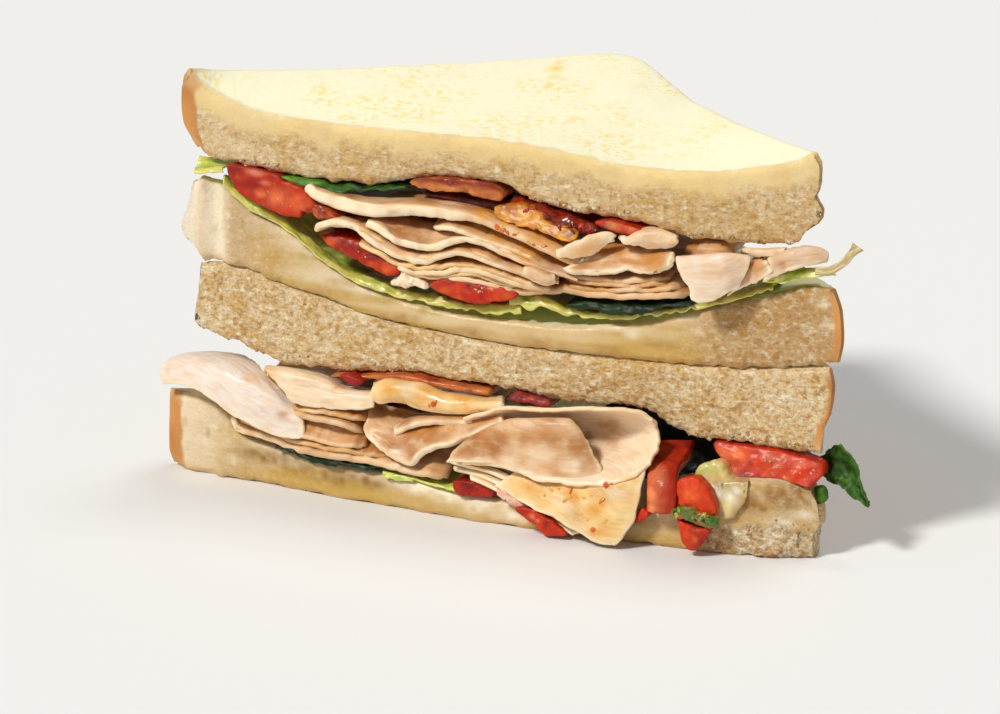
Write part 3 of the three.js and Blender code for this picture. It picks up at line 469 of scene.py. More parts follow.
base = Slice(
    -85.2, 83.2,
    bulge="-85 4.5, -76 0.5, -60 -0.3, -49 -1.8, -40 -3.5, -20 -5.3, 3 -7.5, 25 -8, 52, 70 -6.5, 83 -3",
    top="""
    -85 19.3, -76 19.5, -71 18, -66 13.5, -60 10.7, -49 9.4, -28 8.2, -18 7.8, -7 6.5, 13 6, 23 6.2,
    38 7.6, 48 10.5, 56 15, 63 17.6, 73 18.4, 83 16.5""",
    bottom="-85 1.2, -80 0, 80, 83 0.5",
    crust_top="-85 19.3, -60 17.6, 4 17, 60, 83 16.5",
    crust_bottom="-85 1.2, -80 0, 80, 83 0.5",
    left_end="0 1, 0.2 0, 1 0.5",
    right_end="0 1.4, 0.3 1.6, 0.5 0, 0.8 0.6, 1 2.6",
)
lower_middle = Slice(
    -75.5, 84.6,
    bulge="-75 0.4, -30 -0.4, 20 0.3, 84 0",
    top="""
    -75 53, -71 53.8, -62 53.2, -52 50.2, -42 47.8, -31 45, -20 43.2, -8 42.2, 8 41.2, 40 41.3, 60 42,
    70 43, 84 44.6""",
    bottom="""
    -75 37, -62 34, -55 31.5, -50 30.6, -30 31.5, -20 32.4, -10 32, 10 30.4, 20 29.8, 40 30, 44 27.6,
    48 25.6, 55 24.6, 84""",
    crust_top="-75 53, -40 47.5, 4 44.4, 50 43.4, 84 44.6",
    crust_bottom="-75 37, -40 30.5, 4 27.4, 50 26.6, 84 24.6",
    left_end="0 2.2, 0.15 0, 0.6 1.2, 1 1.8",
    right_end="0 2.6, 0.3 2.2, 0.45 0.8, 0.8 0, 1 0.8",
)
upper_middle = Slice(
    -79.0, 86.4,
    bulge="-79 1, -60 -0.5, -10 0.3, 30 -0.4, 86 0.2",
    top="""
    -79 73.2, -75 74.5, -70 74, -65 71, -60 67.6, -50 63.4, -45 59.6, -40 56, -30 51.6, -20 49.4,
    -5 47.6, 15, 30 49.3, 40 51, 50 54, 60 57.5, 70 60.6, 80 63.4, 86 63""",
    bottom="""
    -79 57, -74 54.6, -71 54.2, -62 53.6, -52 50.6, -42 48.2, -31 45.4, -20 43.6, -8 42.6, 8 41.6,
    40 41.7, 60 42.4, 70 43.4, 82 45.2, 86 46.5""",
    crust_top="-79 73.2, -40 65, 4 61.6, 50 61, 86 63",
    crust_bottom="-79 57, -72 54, -40 48, 4 44.9, 50 43.9, 80 45, 86 46.5",
    left_end="0 4, 0.12 1.2, 0.3 0, 0.6 1.6, 1 3.4",
    right_end="0 0.8, 0.3 0, 0.7 0.5, 1 2.2",
)
top_slice = Slice(
    -77.8, 80.6,
    bulge="-77 0.6, -40 -0.3, 10 0.3, 50 -0.4, 80 0.4",
    top="""
    -77 98.5, -75 97.3, -70 95, -60 92.2, -50 91, -40 90.3, 0 90, 10 89.5, 20 88.6, 30 87.5, 40 86.8,
    50 87, 60 88.5, 70 90.4, 80 93.4""",
    bottom="""
    -77 82, -74 80, -70 79, -60 78.4, -50 77.2, -30 76.9, -20 79, -10 80.6, 3 80.2, 10 77.4, 20 75.4,
    40 74, 48 72.5, 60 71.7, 75 72.3, 80 76""",
    crust_top="""
    -77 100.5, -65 98.5, -56 97.5, -44 96.5, -30 95.8, -10 95.2, 5 95, 15 94.2, 22 92.6, 33 90.8,
    45 90.7, 57 91.3, 68 92, 80 94""",
    crust_bottom="-77 82, -60 79.6, -10 78, 5 77.4, 22 75, 45 73.4, 68 75, 80 76",
    left_end="0 3.6, 0.15 2.2, 0.35 0.4, 0.6 0, 0.85 0.2, 1 1.8",
    right_end="0 3.4, 0.12 0.6, 0.3 -0.4, 0.44 1.4, 0.6 0.4, 0.85 0.3, 1 1.6",
)
print("stack height at the left tip in mm:", round(float(top_slice.top_at(-77.0, 5.0)), 1))

# %% [markdown]
# The outline of one loop is a list of places round the slice. Each is a share of the depth and a share
# of the height, so that the same list serves every x: up the cut face, back over the top, round the
# crust and forward underneath. The points crowd where the crumb shows.

# %% One loop round a slice
STATIONS = 520                   # loops along the slice
CUT_POINTS, CRUST_POINTS = 56, 12    # points up the cut face and down the crust
TOP_POINTS, CORNER_POINTS = 40, 7    # points over the top and round a corner of the crust
FRONT_ROUND = 2.0                # radius of the upper and lower edge of the cut, in mm


def slice_grid(bread):
    """Points of the whole slice, loops by places, with the share of height of each."""
    t = np.linspace(0, 1, STATIONS)
    crowded_ends = (1 - np.cos(np.pi * t)) / 2
    x = mix(bread.left, bread.right, mix(t, crowded_ends, 0.45))[:, None]
    front, back = bread.front(x), bread.back(x)
    radius = np.minimum(CRUST_ROUND, (back - front) / 3)
    share = radius / (bread.top_at(x, back) - bread.bottom_at(x, back))
    inner = back - radius
    up = np.linspace(0, 1, CUT_POINTS)[None, :]
    far = np.linspace(0, 1, TOP_POINTS)[None, 1:] ** 1.5
    near = far[:, ::-1][:, 1:]
    turn = np.linspace(0, np.pi / 2, CORNER_POINTS)[None, :]
    down = np.linspace(1, 0, CRUST_POINTS)[None, 1:-1]
    edge = FRONT_ROUND / np.maximum(bread.cut_top(x) - bread.cut_bottom(x), 4)
    tuck = np.maximum(1 - np.minimum(up, 1 - up) / edge, 0)
    tucked = 1 - np.sqrt(np.maximum(1 - tuck**2, 0))
    rounding = np.minimum(FRONT_ROUND, (back - front) / 4)
    flat_start = front + rounding
    ys = [front + tucked * rounding, mix(flat_start, inner, far), inner + radius * np.sin(turn[:, 1:]),
          back + 0 * down, inner + radius * np.cos(turn[:, :-1]), mix(flat_start, inner, near)]
    levels = [up + 0 * x, 1 + 0 * x * far, 1 - share * (1 - np.cos(turn[:, 1:])),
              mix(share, 1 - share, down), share * (1 - np.sin(turn[:, :-1])), 0 * x * near]
    y, level = np.concatenate(ys, axis=1), np.concatenate(levels, axis=1)
    z = mix(bread.bottom_at(x, y), bread.top_at(x, y), level)
    return places(x, y, z), level


# %% [markdown]
# ### Crumb and crust
# A bump could fake the crumb, but its outline would stay smooth, so the lumps and pores are real relief
# along the surface's own normal. Wet mayonnaise smooths them. Pressed ends are white and softly folded,
# toasted faces are nearly flat, and the crust is softly wrinkled. The colour follows the same masks:
# white toast, a golden rim under it, crumb, and crust. Over the relief, raised lumps are painted whiter
# as highlight and pores darker as shade.


# %% Bread relief and colour
SLANT_X, SLANT_Z = 0.404, 0.32   # mm to the right and up for each mm forwards, along the eye's slant


def spots(points, centres, width):
    """Soft round marks: 1 at each centre and 0 beyond its radius, stretched by `width` in x. Centres are
    rows of x, z and radius on the cut, and a point in front of it is first taken back along the slant."""
    mark = np.zeros(points.shape[:-1])
    seen_x, seen_z = points[..., 0] + SLANT_X * points[..., 1], points[..., 2] + SLANT_Z * points[..., 1]
    for x, z, radius in rows(centres):
        away = np.hypot((seen_x - x) / width, seen_z - z)
        mark = np.maximum(mark, 1 - ease(away / radius))
    return mark


def painted(colour, points, marks):
    """Soft marks over a colour: each is a tint, its strength, how far it is stretched, and its centres."""
    for number, (tint, strength, stretch, centres) in enumerate(marks):
        ragged = 0.75 + 0.5 * noise(points, 1.6, 60 + number)
        colour = blended(colour, tint, strength * np.clip(spots(points, centres, stretch) * ragged, 0, 1))
    return colour


def make_bread(name, bread, crumb, open_crumb, wet=None, rind=(0.0, 0.0), pale=None, toast=0.0, rim=0.0,
               foot=None, bare=0.0, marks=(), smears=(), seed=0):
    """One slice. `crumb` is its colour at the cut and `open_crumb` how coarse it is. `wet` and `pale`
    give, along x, how wet the cut is and how white. `rind` is the width of crust at each tip of the
    cut, `toast` how strongly the top is speckled, and `rim` the height of the golden band under it.
    `foot` is a place along x and a height: to the right of one and below the other the cut is torn.
    The last `bare` mm at the right have no crust. `marks` lie on the cut and `smears` on the top."""
    grid, level = slice_grid(bread)
    x, y, z = np.moveaxis(grid, -1, 0)
    front, back, none = bread.front(x), bread.back(x), 0 * x
    cut = 1 - ease(y - front + 0.8 * level * rough(grid, 4.0, 2, seed + 14), 0.6, 2.8)
    crust = ease(back - y, 3.4, 1.2) * ease(y - front, 0.3, 1.6)
    bald = ease(bread.right - x, bare + 3, bare - 3) if bare else none
    crust, cut = crust * (1 - bald), np.maximum(cut, bald)
    ends = [ease(width - along, -0.8, 0.8) if width else none
            for width, along in zip(rind, (x - bread.left, bread.right - x))]
    wander = 0.9 * noise(grid, 3.5, seed + 5)
    ends = [np.clip(end + wander * end * (1 - end) * 4, 0, 1) for end in ends]
    crust = np.maximum(crust, cut * np.maximum(*ends))
    ragged = rough(grid, 5.0, 3, seed + 15)
    torn = none
    if foot:
        torn = cut * ease(x + 3 * ragged, foot[0] - 4, foot[0] + 4)
        torn = torn * ease(z + 2.4 * ragged, foot[1] + 1.2, foot[1] - 1.2)
    moist = curve(wet)(x) * cut * (1 - torn) if wet else none
    white = curve(pale)(x) * cut * (1 - crust) if pale else none
    below_top = (1 - level) * (bread.cut_top(x) - bread.cut_bottom(x))
    band = cut * ease(below_top + 1.6 * ragged, rim + 1.8, rim - 1.8) if rim else none
    smooth = 1 - (1 - 0.9 * moist) * (1 - 0.9 * crust) * (1 - 0.85 * band) * (1 - 0.7 * white)

    lumps = rough(grid, 4.5, 2, seed)
    fibre = rough(grid * np.array([0.7, 1.0, 1.3]), 1.2, 2, seed + 1)
    pores = ease(noise(grid, 1.1, seed + 2), 0.3, 0.8)
    coarse = np.maximum(0.45 + 0.55 * open_crumb, 1.3 * torn)
    crumb_relief = coarse * (0.22 * lumps + 0.16 * fibre - 0.3 * pores)
    folds = 1.3 * noise(grid * np.array([1.0, 0.5, 0.28]), 4.6, seed + 7)
    face = 0.14 * rough(grid, 8.0, 3, seed + 3) + 0.05 * noise(grid, 0.9, seed + 4)
    raised = mix(face, crumb_relief * (1 - smooth) + white * folds + 0.14 * moist * lumps, cut) - 0.3 * cut
    grid = grid + outward(grid, wrap=True) * raised[..., None]
    hem = cut * ease(level, 0.2, 0.0) * (1 - crust)
    wavy = 0.7 * noise(grid, 2.4, seed + 6) + 0.4 * noise(grid, 1.0, seed + 8)
    grid[..., 2] += hem * (1 - 0.5 * smooth) * wavy
    if name == "bread_base":
        grid[..., 2] = np.maximum(grid[..., 2], 0.0)

    # Raised lumps are painted whiter, a painted highlight, and pores darker, painted shade in their
    # hollows; torn and open crumb is whiter of itself.
    bright = blended(crumb, CRUMB_WHITE, 0.08 + 0.2 * open_crumb + 0.25 * lumps * open_crumb + 0.3 * torn)
    colour = blended(bright, crumb * np.array([0.78, 0.66, 0.5]), 0.7 * pores * (1 - smooth) * coarse)
    colour = blended(colour, CRUMB_WHITE, 0.85 * white * (0.8 + 0.3 * folds))
    streaks = rough(grid * np.array([0.1, 1, 0.9]), 2.2, 2, seed + 10)
    wet_colour = blended(CRUMB_WET, CRUMB_WHITE, 0.18 + 0.38 * streaks + 0.5 * (level - 0.45))
    colour = colour + (wet_colour - colour) * (0.9 * moist)[..., None]
    colour = blended(colour, TOAST_RIM, 0.8 * band * (0.85 + 0.3 * ragged))
    colour = blended(colour, CRUST_GOLD, 0.45 * hem * ease(noise(grid, 6.0, seed + 11), -0.3, 0.8))
    colour = painted(colour, grid, marks)
    colour = blended(colour, TOAST_WHITE, 1 - cut)
    gold = blended(CRUST_GOLD, CRUST_BROWN, 0.3 + 0.4 * rough(grid, 7, 2, seed + 8))
    pale_edge = ease(np.abs(level - 0.5), 0.3, 0.5)
    colour = colour + (gold - colour) * (crust * (1 - 0.55 * pale_edge))[..., None]
    top_face = (1 - cut) * ease(level, 0.5, 0.9) * (1 - crust)
    brim = ease(back - y, 2.4, 0.6) * ease(level, 0.8, 1.0) * ease(y - front, 6, 20)
    colour = blended(colour, daylight(240, 196, 142), 0.75 * brim)
    flat = places(x, 0, y)
    for tint, strength, stretch, centres in smears:
        colour = painted(colour, flat, [(tint, top_face * strength, stretch, centres)])
    clouds = noise(grid, 15.0, seed + 12) + 0.6 * noise(grid, 6.0, seed + 13)
    patches = 0.12 + 0.88 * ease(clouds, -0.3, 0.7)
    grid[..., 0] += bread.end_shift(x, level)
    values = {
        "tint": colour.reshape(-1, 3),
        "wet": moist.ravel(),
        "crumb": (cut * (1 - smooth) * coarse).ravel(),
        "toast": (toast * top_face * patches).ravel(),
    }
    ids = np.arange(level.size).reshape(level.shape)
    faces = list(quads(ids, wrap=True))
    points = list(grid.reshape(-1, 3))
    for row, order in ((0, 1), (-1, -1)):
        centre = len(points)
        points.append(grid[row].mean(axis=0))
        for key, value in values.items():
            values[key] = np.concatenate([value, value[ids[row, :1]]])
        ring = np.stack([ids[row], np.roll(ids[row], -1)], axis=-1)[:, ::order]
        faces += [np.array([centre, a, b]) for a, b in ring[:, ::-1]]
    return make_piece(name, np.array(points), faces, values, bread_finish, "bread")


# %% Bread finish
def bread_material():
    """Soft crumb: matt, a little see-through, with white fibres and small pits, wet in places. Raised
    fibres are painted whiter, partly a painted highlight, and hollows and pits darker, painted shade.
    """
    f = Finish("toasted_bread", subsurface_weight=0.15, subsurface_scale=0.002, specular_ior_level=0.2,
               subsurface_radius=(1.0, 0.7, 0.4))
    tint, crumb, toast = f.value("tint", colour=True), f.value("crumb"), f.value("toast")
    fibre = f.noise(0.85, detail=4.0, stretch=(1.5, 1.0, 1.0), roughness=0.62)
    fluff = f.noise(1.25, detail=4.0, stretch=(1.6, 1.0, 1.0), roughness=0.65)
    # Painted shade: darker where the fibre noise is low, in the hollows between the raised fibres, and in
    # small pits of the finer grain below.
    tint = f.stain(f.product(f.between(fibre, 0.6, 0.32), crumb), tint, (0.72, 0.56, 0.34))
    grain = f.noise(0.42, detail=2.0)
    tint = f.stain(f.product(f.between(grain, 0.56, 0.36, 0.0, 0.85), crumb), tint, (0.84, 0.74, 0.56))
    # The raised strands are painted near white: partly white crumb, partly a painted highlight.
    strand = f.product(f.between(fluff, 0.46, 0.72), crumb)
    tint = f.blend(f.product(strand, 0.75), tint, daylight(255, 244, 214))
    speck = f.noise(1.7, detail=4.0, roughness=0.68)
    toasted = f.product(f.between(speck, 0.48, 0.62), toast)
    tint = f.blend(f.product(toasted, 0.8), tint, daylight(246, 218, 124))
    f.colour(tint)
    f.put(f.shader.inputs["Roughness"], f.between(f.value("wet"), 0.0, 1.0, 0.9, 0.24))
    f.bump(f.product(fibre, crumb), 0.8, 0.6)
    f.bump(strand, 0.5, 0.5)
    f.bump(f.noise(0.5, detail=2.0), 0.12, 0.3)
    return f.material


bread_finish = bread_material()
print("nodes in the bread finish:", len(bread_finish.node_tree.nodes))

# %% [markdown]
# ### The four slices
# Soft bread keeps the dents of the filling and of fingers, so no slice is like another. Gold where the
# toast caught, damp where sauce soaked in and white fluff where it tore are laid on one by one, because
# noise alone never puts them where handling does.

# %% The four slices
HEM_GOLD = daylight(226, 160, 84)
DAMP_TAN = daylight(176, 130, 66)
FLUFF = daylight(240, 222, 190)
GREASE = daylight(250, 206, 70)
RIPE_GOLD = daylight(188, 146, 78)
OLIVE = daylight(172, 140, 46)
make_bread("bread_top", top_slice, daylight(210, 176, 116), open_crumb=0.55, rind=(3.6, 0.0), toast=1.0,
           rim=4.5, seed=11, pale="-78 0, -73 0.2, -60 0.1, -50 0",
           marks=[(RIPE_GOLD, 0.5, 2.5, "60 79 5, 74 78, 40 79 4, 66 74.6 3, 52 75 2.6"),
                  (HEM_GOLD, 0.75, 3.5, """
    -30 77.2 1.6, -16 79.6, 8 78 2, 16 76 2.2, 26 75 2, 36 74, 46 73 1.6"""),
                  (FLUFF, 0.7, 1.8, """
    -62 82 3.4, -55 80.5 2.6, -46 79.5 2.4, 16 77.4 1.6, 14 79.6, -6 81.6 1.8""")],
           smears=[(GREASE, 1.0, 0.6, "-5.6 58 5.4, -3.4 52 3.6, -1.8 46 2.4, -6.5 64 3")])
make_bread("bread_upper_middle", upper_middle, daylight(182, 138, 72), open_crumb=0.35, rind=(0.0, 2.0),
           seed=23,
           wet="-66 0, -56 0.6, -44 0.9, 20 0.95, 46 0.85, 58 0.1, 60 0",
           pale="-79 1, -70 0.9, -60 0.3, -50 0",
           marks=[(DAMP_TAN, 0.7, 5.0, "-40 50 1.8, -22 45.6 2, -4 44 2.2, 14 43.4 2.4, 30 43.4 2, 44 46"),
                  (OLIVE, 0.75, 4.0, """
    -46 57.6 1.6, -36 52.6 1.8, -26 49.6, -14 48, -2 47.8, 10 48.6, 22 49.6 1.4, 34 50"""),
                  (RIPE_GOLD, 0.5, 1.5, "72 54 6, 62 52 5, 78 58 4"),
                  (FLUFF, 0.8, 2.0, "82 60 2.6, 84 55 2.4, 46 53 1.8, 36 47.6, 52 50 1.6"),
                  (FLUFF, 0.8, 0.7, "-72 62 3, -73 70 2.6, -66 66 1.8"),
                  (DAMP_TAN, 0.45, 0.5, "-69.6 62 2.4, -66 58, -62 64 2")])
make_bread("bread_lower_middle", lower_middle, daylight(214, 181, 122), open_crumb=1.0,
           rind=(0.0, 1.2), seed=37,
           marks=[(FLUFF, 0.5, 1.8, "66 38 4, 74 33, 50 36 3"),
                  (RIPE_GOLD, 0.45, 5.0, "20 38.6 1.8, 44 38 1.6, -24 41 1.8"),
                  (HEM_GOLD, 0.55, 3.0, "-36 32.4 1.8, -10 32.4 1.6, 22 30.6, 36 30.6 1.4")])
make_bread("bread_base", base, daylight(182, 140, 74), open_crumb=0.4, rind=(4.5, 0.0), foot=(57, 7.4),
           bare=9.0, seed=41,
           wet="-85 0.2, -70 0.4, -56 0.8, -28 1, -18 0.8, 8, 14 1, 36 0.8, 60 0.75, 83 0.5",
           pale="-85 0.9, -72 0.75, -62 0.25, -40 0, -30 0.05, -20 0.45, 8 0.5, 20 0, 83",
           marks=[(daylight(140, 98, 40), 0.85, 3.0, "-50 6 4.4, -38 4.4, -58 7 3.6, -30 4 3.2"),
                  (daylight(158, 106, 34), 0.95, 1.8, "38 4 4, 64 11 5, 72 13, 78 14.6 4, 60 9 2.6"),
                  (daylight(140, 92, 40), 0.7, 1.4, "62 12.6 1.2, 68 9.6 1.4, 74 11 1.2, 79 12.4"),
                  (FLUFF, 0.85, 1.4, "-76 15.6 2.2, -71 13 1.8, -74 8.6 2.2, -66 5 2"),
                  (DAMP_TAN, 0.5, 0.6, "-79 13 2.4, -72.6 11 1.8"),
                  # The white spots from x -22 to 6 are pale crumb and mayonnaise, partly a painted
                  # highlight of their wet gloss; the two at the right are torn fluff.
                  (CRUMB_WHITE, 0.9, 2.4, """
    -17 4 2.6, -10 2.8 3.2, -2 1.6, 6 0.4 3, -22 4.6 1.8, 78 9.4 2, 73 7 1.8""")])
print("bread triangles:", sum(len(p.data.loops) - 2 * len(p.data.polygons) for p in pieces.values()))

# %% [markdown]
# ## Room for the filling
# Each half has a room between its two slices. A height in it is a share of the way from floor to
# ceiling, and a piece keeps a margin from the bread. A place read on the cut face that really lies
# `out` mm in front of it moves to the right and up by the slant of the eye, so that it shows where it
# was read.


# %% Rooms and places
SPILL = np.array([SLANT_X, -1.0, SLANT_Z])
BREAD_GAP = 0.5


def spilled(x, z, out):
    """A place on the cut face at x and z, moved `out` mm forwards, to the right and up."""
    return places(x, 0.0, z) + np.asarray(out)[..., None] * SPILL


class Room:
    """The space between the slice below and the slice above."""

    def __init__(self, below, above):
        self.below, self.above = below, above

    def share(self, x, y, q):
        """The height a share q of the way up."""
        return mix(self.below.top_at(x, y), self.above.bottom_at(x, y), q)

    def keep_clear(self, points, margin):
        """Moves heights so that they stay `margin` from bread above or below them."""
        x, y, z = np.moveaxis(points, -1, 0)
        ceiling = self.above.bottom_at(x, y) - margin
        floor = self.below.top_at(x, y) + margin
        z = np.where(y > self.above.front(x) - 1, np.minimum(z, ceiling), z)
        z = np.where(y > self.below.front(x) - 1, np.maximum(z, floor), z)
        return places(x, y, z)

    def reach(self, x):
        """How far back the filling runs."""
        return np.maximum(np.minimum(self.below.back(x), self.above.back(x)) - CRUST_INSET, 3)


lower_room, upper_room = Room(base, lower_middle), Room(upper_middle, top_slice)


def room_of(name):
    """The room that a piece lies in, by its name."""
    return upper_room if "upper" in name else lower_room


print("lower room in mm at x = 0:", np.round([base.cut_top(0.0), lower_middle.cut_bottom(0.0)], 1))

# %% [markdown]
# ## Thin sheets
# Sliced turkey and leaves are thin sheets. A Solidify modifier would leave them square at the rim. Here
# each is a grid of middle points, moved out along its normal to both sides by half the thickness.
# Towards the border the thickness closes along a circle, so the rim is round and the two faces share
# it: the sheet is one closed skin.


# %% Closing a sheet
def paces(length, step, near=(0.0, 0.12, 0.35, 0.7)):
    """Shares from 0 to 1 along a length in mm: a few close to each end, then even steps."""
    near = np.array([d for d in near if d < length / 3])
    count = max(int((length - 2 * near[-1]) / step), 2)
    middle = np.linspace(near[-1], length - near[-1], count)[1:-1]
    return np.concatenate([near, middle, length - near[::-1]]) / length


def lengths_along(grid, axis):
    """Distance run along one direction of a grid, from its first row or column."""
    step = np.linalg.norm(np.diff(grid, axis=axis), axis=-1)
    zero = np.zeros_like(np.take(step, [0], axis=axis))
    return np.concatenate([zero, np.cumsum(step, axis=axis)], axis=axis)


def sheet_piece(name, grid, thickness, paint, finish, slot, relief=None):
    """A closed sheet round a grid. `paint` gives colour and wetness from points and distance to the rim.
    The thickness is a number of mm, or knots along x."""
    tall, wide = grid.shape[:2]
    v, u = lengths_along(grid, 0), lengths_along(grid, 1)
    rim = np.minimum(np.minimum(u, u[:, -1:] - u), np.minimum(v, v[-1:] - v))
    half = (curve(thickness)(grid[..., 0]) if isinstance(thickness, str) else thickness) / 2
    closing = np.sqrt(np.clip(1 - (1 - np.minimum(rim / (0.6 * half), 1)) ** 2, 0, 1))
    normal = outward(grid)
    swell = relief(grid) if relief else 0.0
    middle = grid + normal * (swell * np.ones(grid.shape[:2]))[..., None]
    upper = middle - normal * (half * closing)[..., None]
    lower = middle + normal * (half * closing)[..., None]
    top_ids = np.arange(tall * wide).reshape(tall, wide)
    low_ids = top_ids.copy()
    low_ids[1:-1, 1:-1] = tall * wide + np.arange((tall - 2) * (wide - 2)).reshape(tall - 2, -1)
    points = np.concatenate([upper.reshape(-1, 3), lower[1:-1, 1:-1].reshape(-1, 3)])
    faces = np.concatenate([quads(top_ids)[:, ::-1], quads(low_ids)])

    def both(value):
        tail = value.shape[2:]
        return np.concatenate([value.reshape(-1, *tail), value[1:-1, 1:-1].reshape(-1, *tail)])

    colour, wet = paint(middle, rim, u, v)
    values = {"tint": both(colour), "rim": both(rim), "wet": both(wet + 0 * rim)}
    return make_piece(name, points, faces, values, finish, slot, both(np.stack([u, v], axis=-1)))


# %% [markdown]
# A layer runs through the food. Its front rolls down over a lip, and behind the lip it settles at its
# own height in the room. The line of its upper and lower edge along the cut is all that it needs. Real
# slices are never straight, so the lip ripples a little and its lower edge is torn.


# %% Layers that run through the food
LIP_STEPS, LAYER_ROWS, LAYER_STEP = 15, 24, 0.6


def layer_grid(room, line, hang, level, thickness, deep=1.0, ripple=0.3, torn=0.5, seed=0):
    """Middle points of a layer: rows over the lip and back to the crust, columns along x."""
    line = rows(line)
    upper, lower = curve(line, 1), curve(line, 2)
    start, end = line[0][0], line[-1][0]
    x = mix(start, end, paces(end - start, LAYER_STEP))[None, :]
    flat = places(x, 0, 0)
    sway = ripple * (noise(flat, 5.5, seed) + 0.5 * noise(flat, 2.3, seed + 1))
    tear = torn * (noise(flat, 2.8, seed + 2) + 0.6 * noise(flat, 1.2, seed + 3))
    out = hang - room.below.front(x) + 0.8 * sway
    high = upper(x) - thickness / 2 + sway
    low = np.minimum(lower(x) + thickness / 4 + tear, high - 0.2)
    bend = np.clip(high - low, 1.2, 4)
    angle = np.linspace(0, np.pi / 2, LIP_STEPS)[:, None]
    lip = spilled(x + 0 * angle, mix(low, high, np.sin(angle)), out - bend * (1 - np.cos(angle)))
    sx, sy, sz = np.moveaxis(lip[-1:], -1, 0)
    inside = np.maximum(room.reach(sx) * deep, sy + 3)
    t = np.linspace(0, 1, LAYER_ROWS)[1:, None] ** 1.6
    y = mix(sy, inside, t)
    settled = ease((y - sy) / np.minimum(20, inside - sy))
    wave = 0.35 * ease(t, 0.1, 0.6) * noise(places(sx, y, 0), 11, seed + 4)
    z = mix(sz, room.share(sx + 0 * y, y, level), settled) + wave
    grid = np.concatenate([lip, places(sx, y, z)])
    return room.keep_clear(grid, thickness / 2 + BREAD_GAP)


# %% [markdown]
# A fold could be dropped as cloth, but it would rarely land where it should, so it is drawn: a loose
# sheet through a few rails. Each rail is a row of places along the sheet: x and z on the cut, and how
# far in front of it. A / stands between two rails. Points on a rail and across the rails follow a
# Catmull-Rom spline, the curve that passes through all its points with a slope parallel to its
# neighbours.


# %% Folds through rails
def spline_step(a, b, c, d, f):
    """The place a share f of the way from b to c, with a before them and d behind."""
    return 0.5 * (2 * b + (c - a) * f + (2 * a - 5 * b + 4 * c - d) * f**2 + (3 * b - 3 * c + d - a) * f**3)


def spline(points, t):
    """Catmull-Rom: points (n, ..., 3) taken at shares t of the way; ends are mirrored outwards."""
    first, last = 2 * points[:1] - points[1:2], 2 * points[-1:] - points[-2:-1]
    p = np.concatenate([first, points, last])
    place = np.clip(t, 0, 1) * (len(points) - 1)
    i = np.minimum(place.astype(int), len(points) - 2)
    f = (place - i).reshape((-1,) + (1,) * (points.ndim - 1))
    return spline_step(p[i], p[i + 1], p[i + 2], p[i + 3], f)


TRIAL_POINTS = 12                # points each way of the first grid, which only measures the sheet


def fold_grid(rails, step=0.7, torn=0.35, wave=0.25, seed=0):
    """Middle points of a loose sheet: rows across the rails, columns along them."""
    placed = [np.array([spilled(*point) for point in rows(rail)]) for rail in rails.split("/")]
    even = np.linspace(0, 1, TRIAL_POINTS)
    rough_grid = spline(np.array([spline(rail, even) for rail in placed]), even)
    long = lengths_along(rough_grid, 1)[:, -1].mean()
    wide = lengths_along(rough_grid, 0)[-1].mean()
    u, v = paces(long, step), paces(wide, step)
    grid = spline(np.array([spline(rail, u) for rail in placed]), v)
    away = grid - grid.mean(axis=(0, 1))
    away /= np.maximum(np.linalg.norm(away, axis=-1, keepdims=True), 1e-6)
    run, cross = lengths_along(grid, 1), lengths_along(grid, 0)
    rim = np.minimum(np.minimum(run, run[:, -1:] - run), np.minimum(cross, cross[-1:] - cross))
    near = np.exp(-rim / 1.2)
    tear = torn * near * (noise(grid, 2.6, seed) + 0.6 * noise(grid, 1.1, seed + 1) - 0.5)
    swell = wave * noise(grid, 6.0, seed + 2) * (0.5 + 0.5 * near)
    return grid + away * tear[..., None] + outward(grid) * swell[..., None]


def ruffle(amount, size, seed, along=1.0):
    """Height of small ruffles or fibres, drawn out along x where `along` is over 1."""
    stretch = np.array([1 / along, 1.0, 1.0])
    return lambda points: amount * (noise(points * stretch, size, seed)
                                    + 0.5 * noise(points * stretch, size / 2.2, seed + 1))


# %% [markdown]
# ### Turkey
# Cooked turkey breast is pale and slightly pink inside, with a cream line where the knife went through,
# and that line is painted brighter still, as a highlight where the edge faces the light.
# The face carries faint fibres along the slice, and meat juice makes it shine. Light soaks in, so the
# finish scatters some of it under the surface.


# %% Turkey finish
def turkey_material():
    """Moist meat: a little light soaks in, with faint streaks along the slice and a wet sheen."""
    f = Finish("sliced_turkey", subsurface_weight=0.15, subsurface_scale=0.0012, specular_ior_level=0.4,
               coat_roughness=0.12, subsurface_radius=(1.0, 0.5, 0.3))
    tint, rim, wet = f.value("tint", colour=True), f.value("rim"), f.value("wet")
    streak = f.noise(0.9, detail=4.0, stretch=(5.0, 1.0, 1.0), source=f.surface)
    blotch = f.noise(3.2, detail=3.0, stretch=(1.6, 1.0, 1.0))
    inner = f.between(rim, 0.3, 2.5)
    tint = f.stain(f.product(f.between(streak, 0.60, 0.34, 0.0, 0.5), inner), tint, (0.88, 0.72, 0.54))
    tint = f.stain(f.between(blotch, 0.45, 0.7, 0.0, 0.75), tint, (0.98, 0.86, 0.70))
    tint = f.blend(f.between(blotch, 0.5, 0.28, 0.0, 0.35), tint, MEAT_PALE)
    f.colour(tint)
    f.put(f.shader.inputs["Roughness"], f.between(wet, 0.0, 1.0, 0.46, 0.2))
    f.put(f.shader.inputs["Coat Weight"], f.between(wet, 0.0, 1.0, 0.08, 0.6))
    f.bump(f.noise(3.4, detail=3.0, stretch=(3.0, 1.0, 1.0), source=f.surface), 0.9, 0.45)
    f.bump(streak, 0.3, 0.5)
    f.bump(f.noise(0.7, detail=4.0), 0.22, 0.4)
    return f.material


turkey_finish = turkey_material()
print("nodes in the turkey finish:", len(turkey_finish.node_tree.nodes))


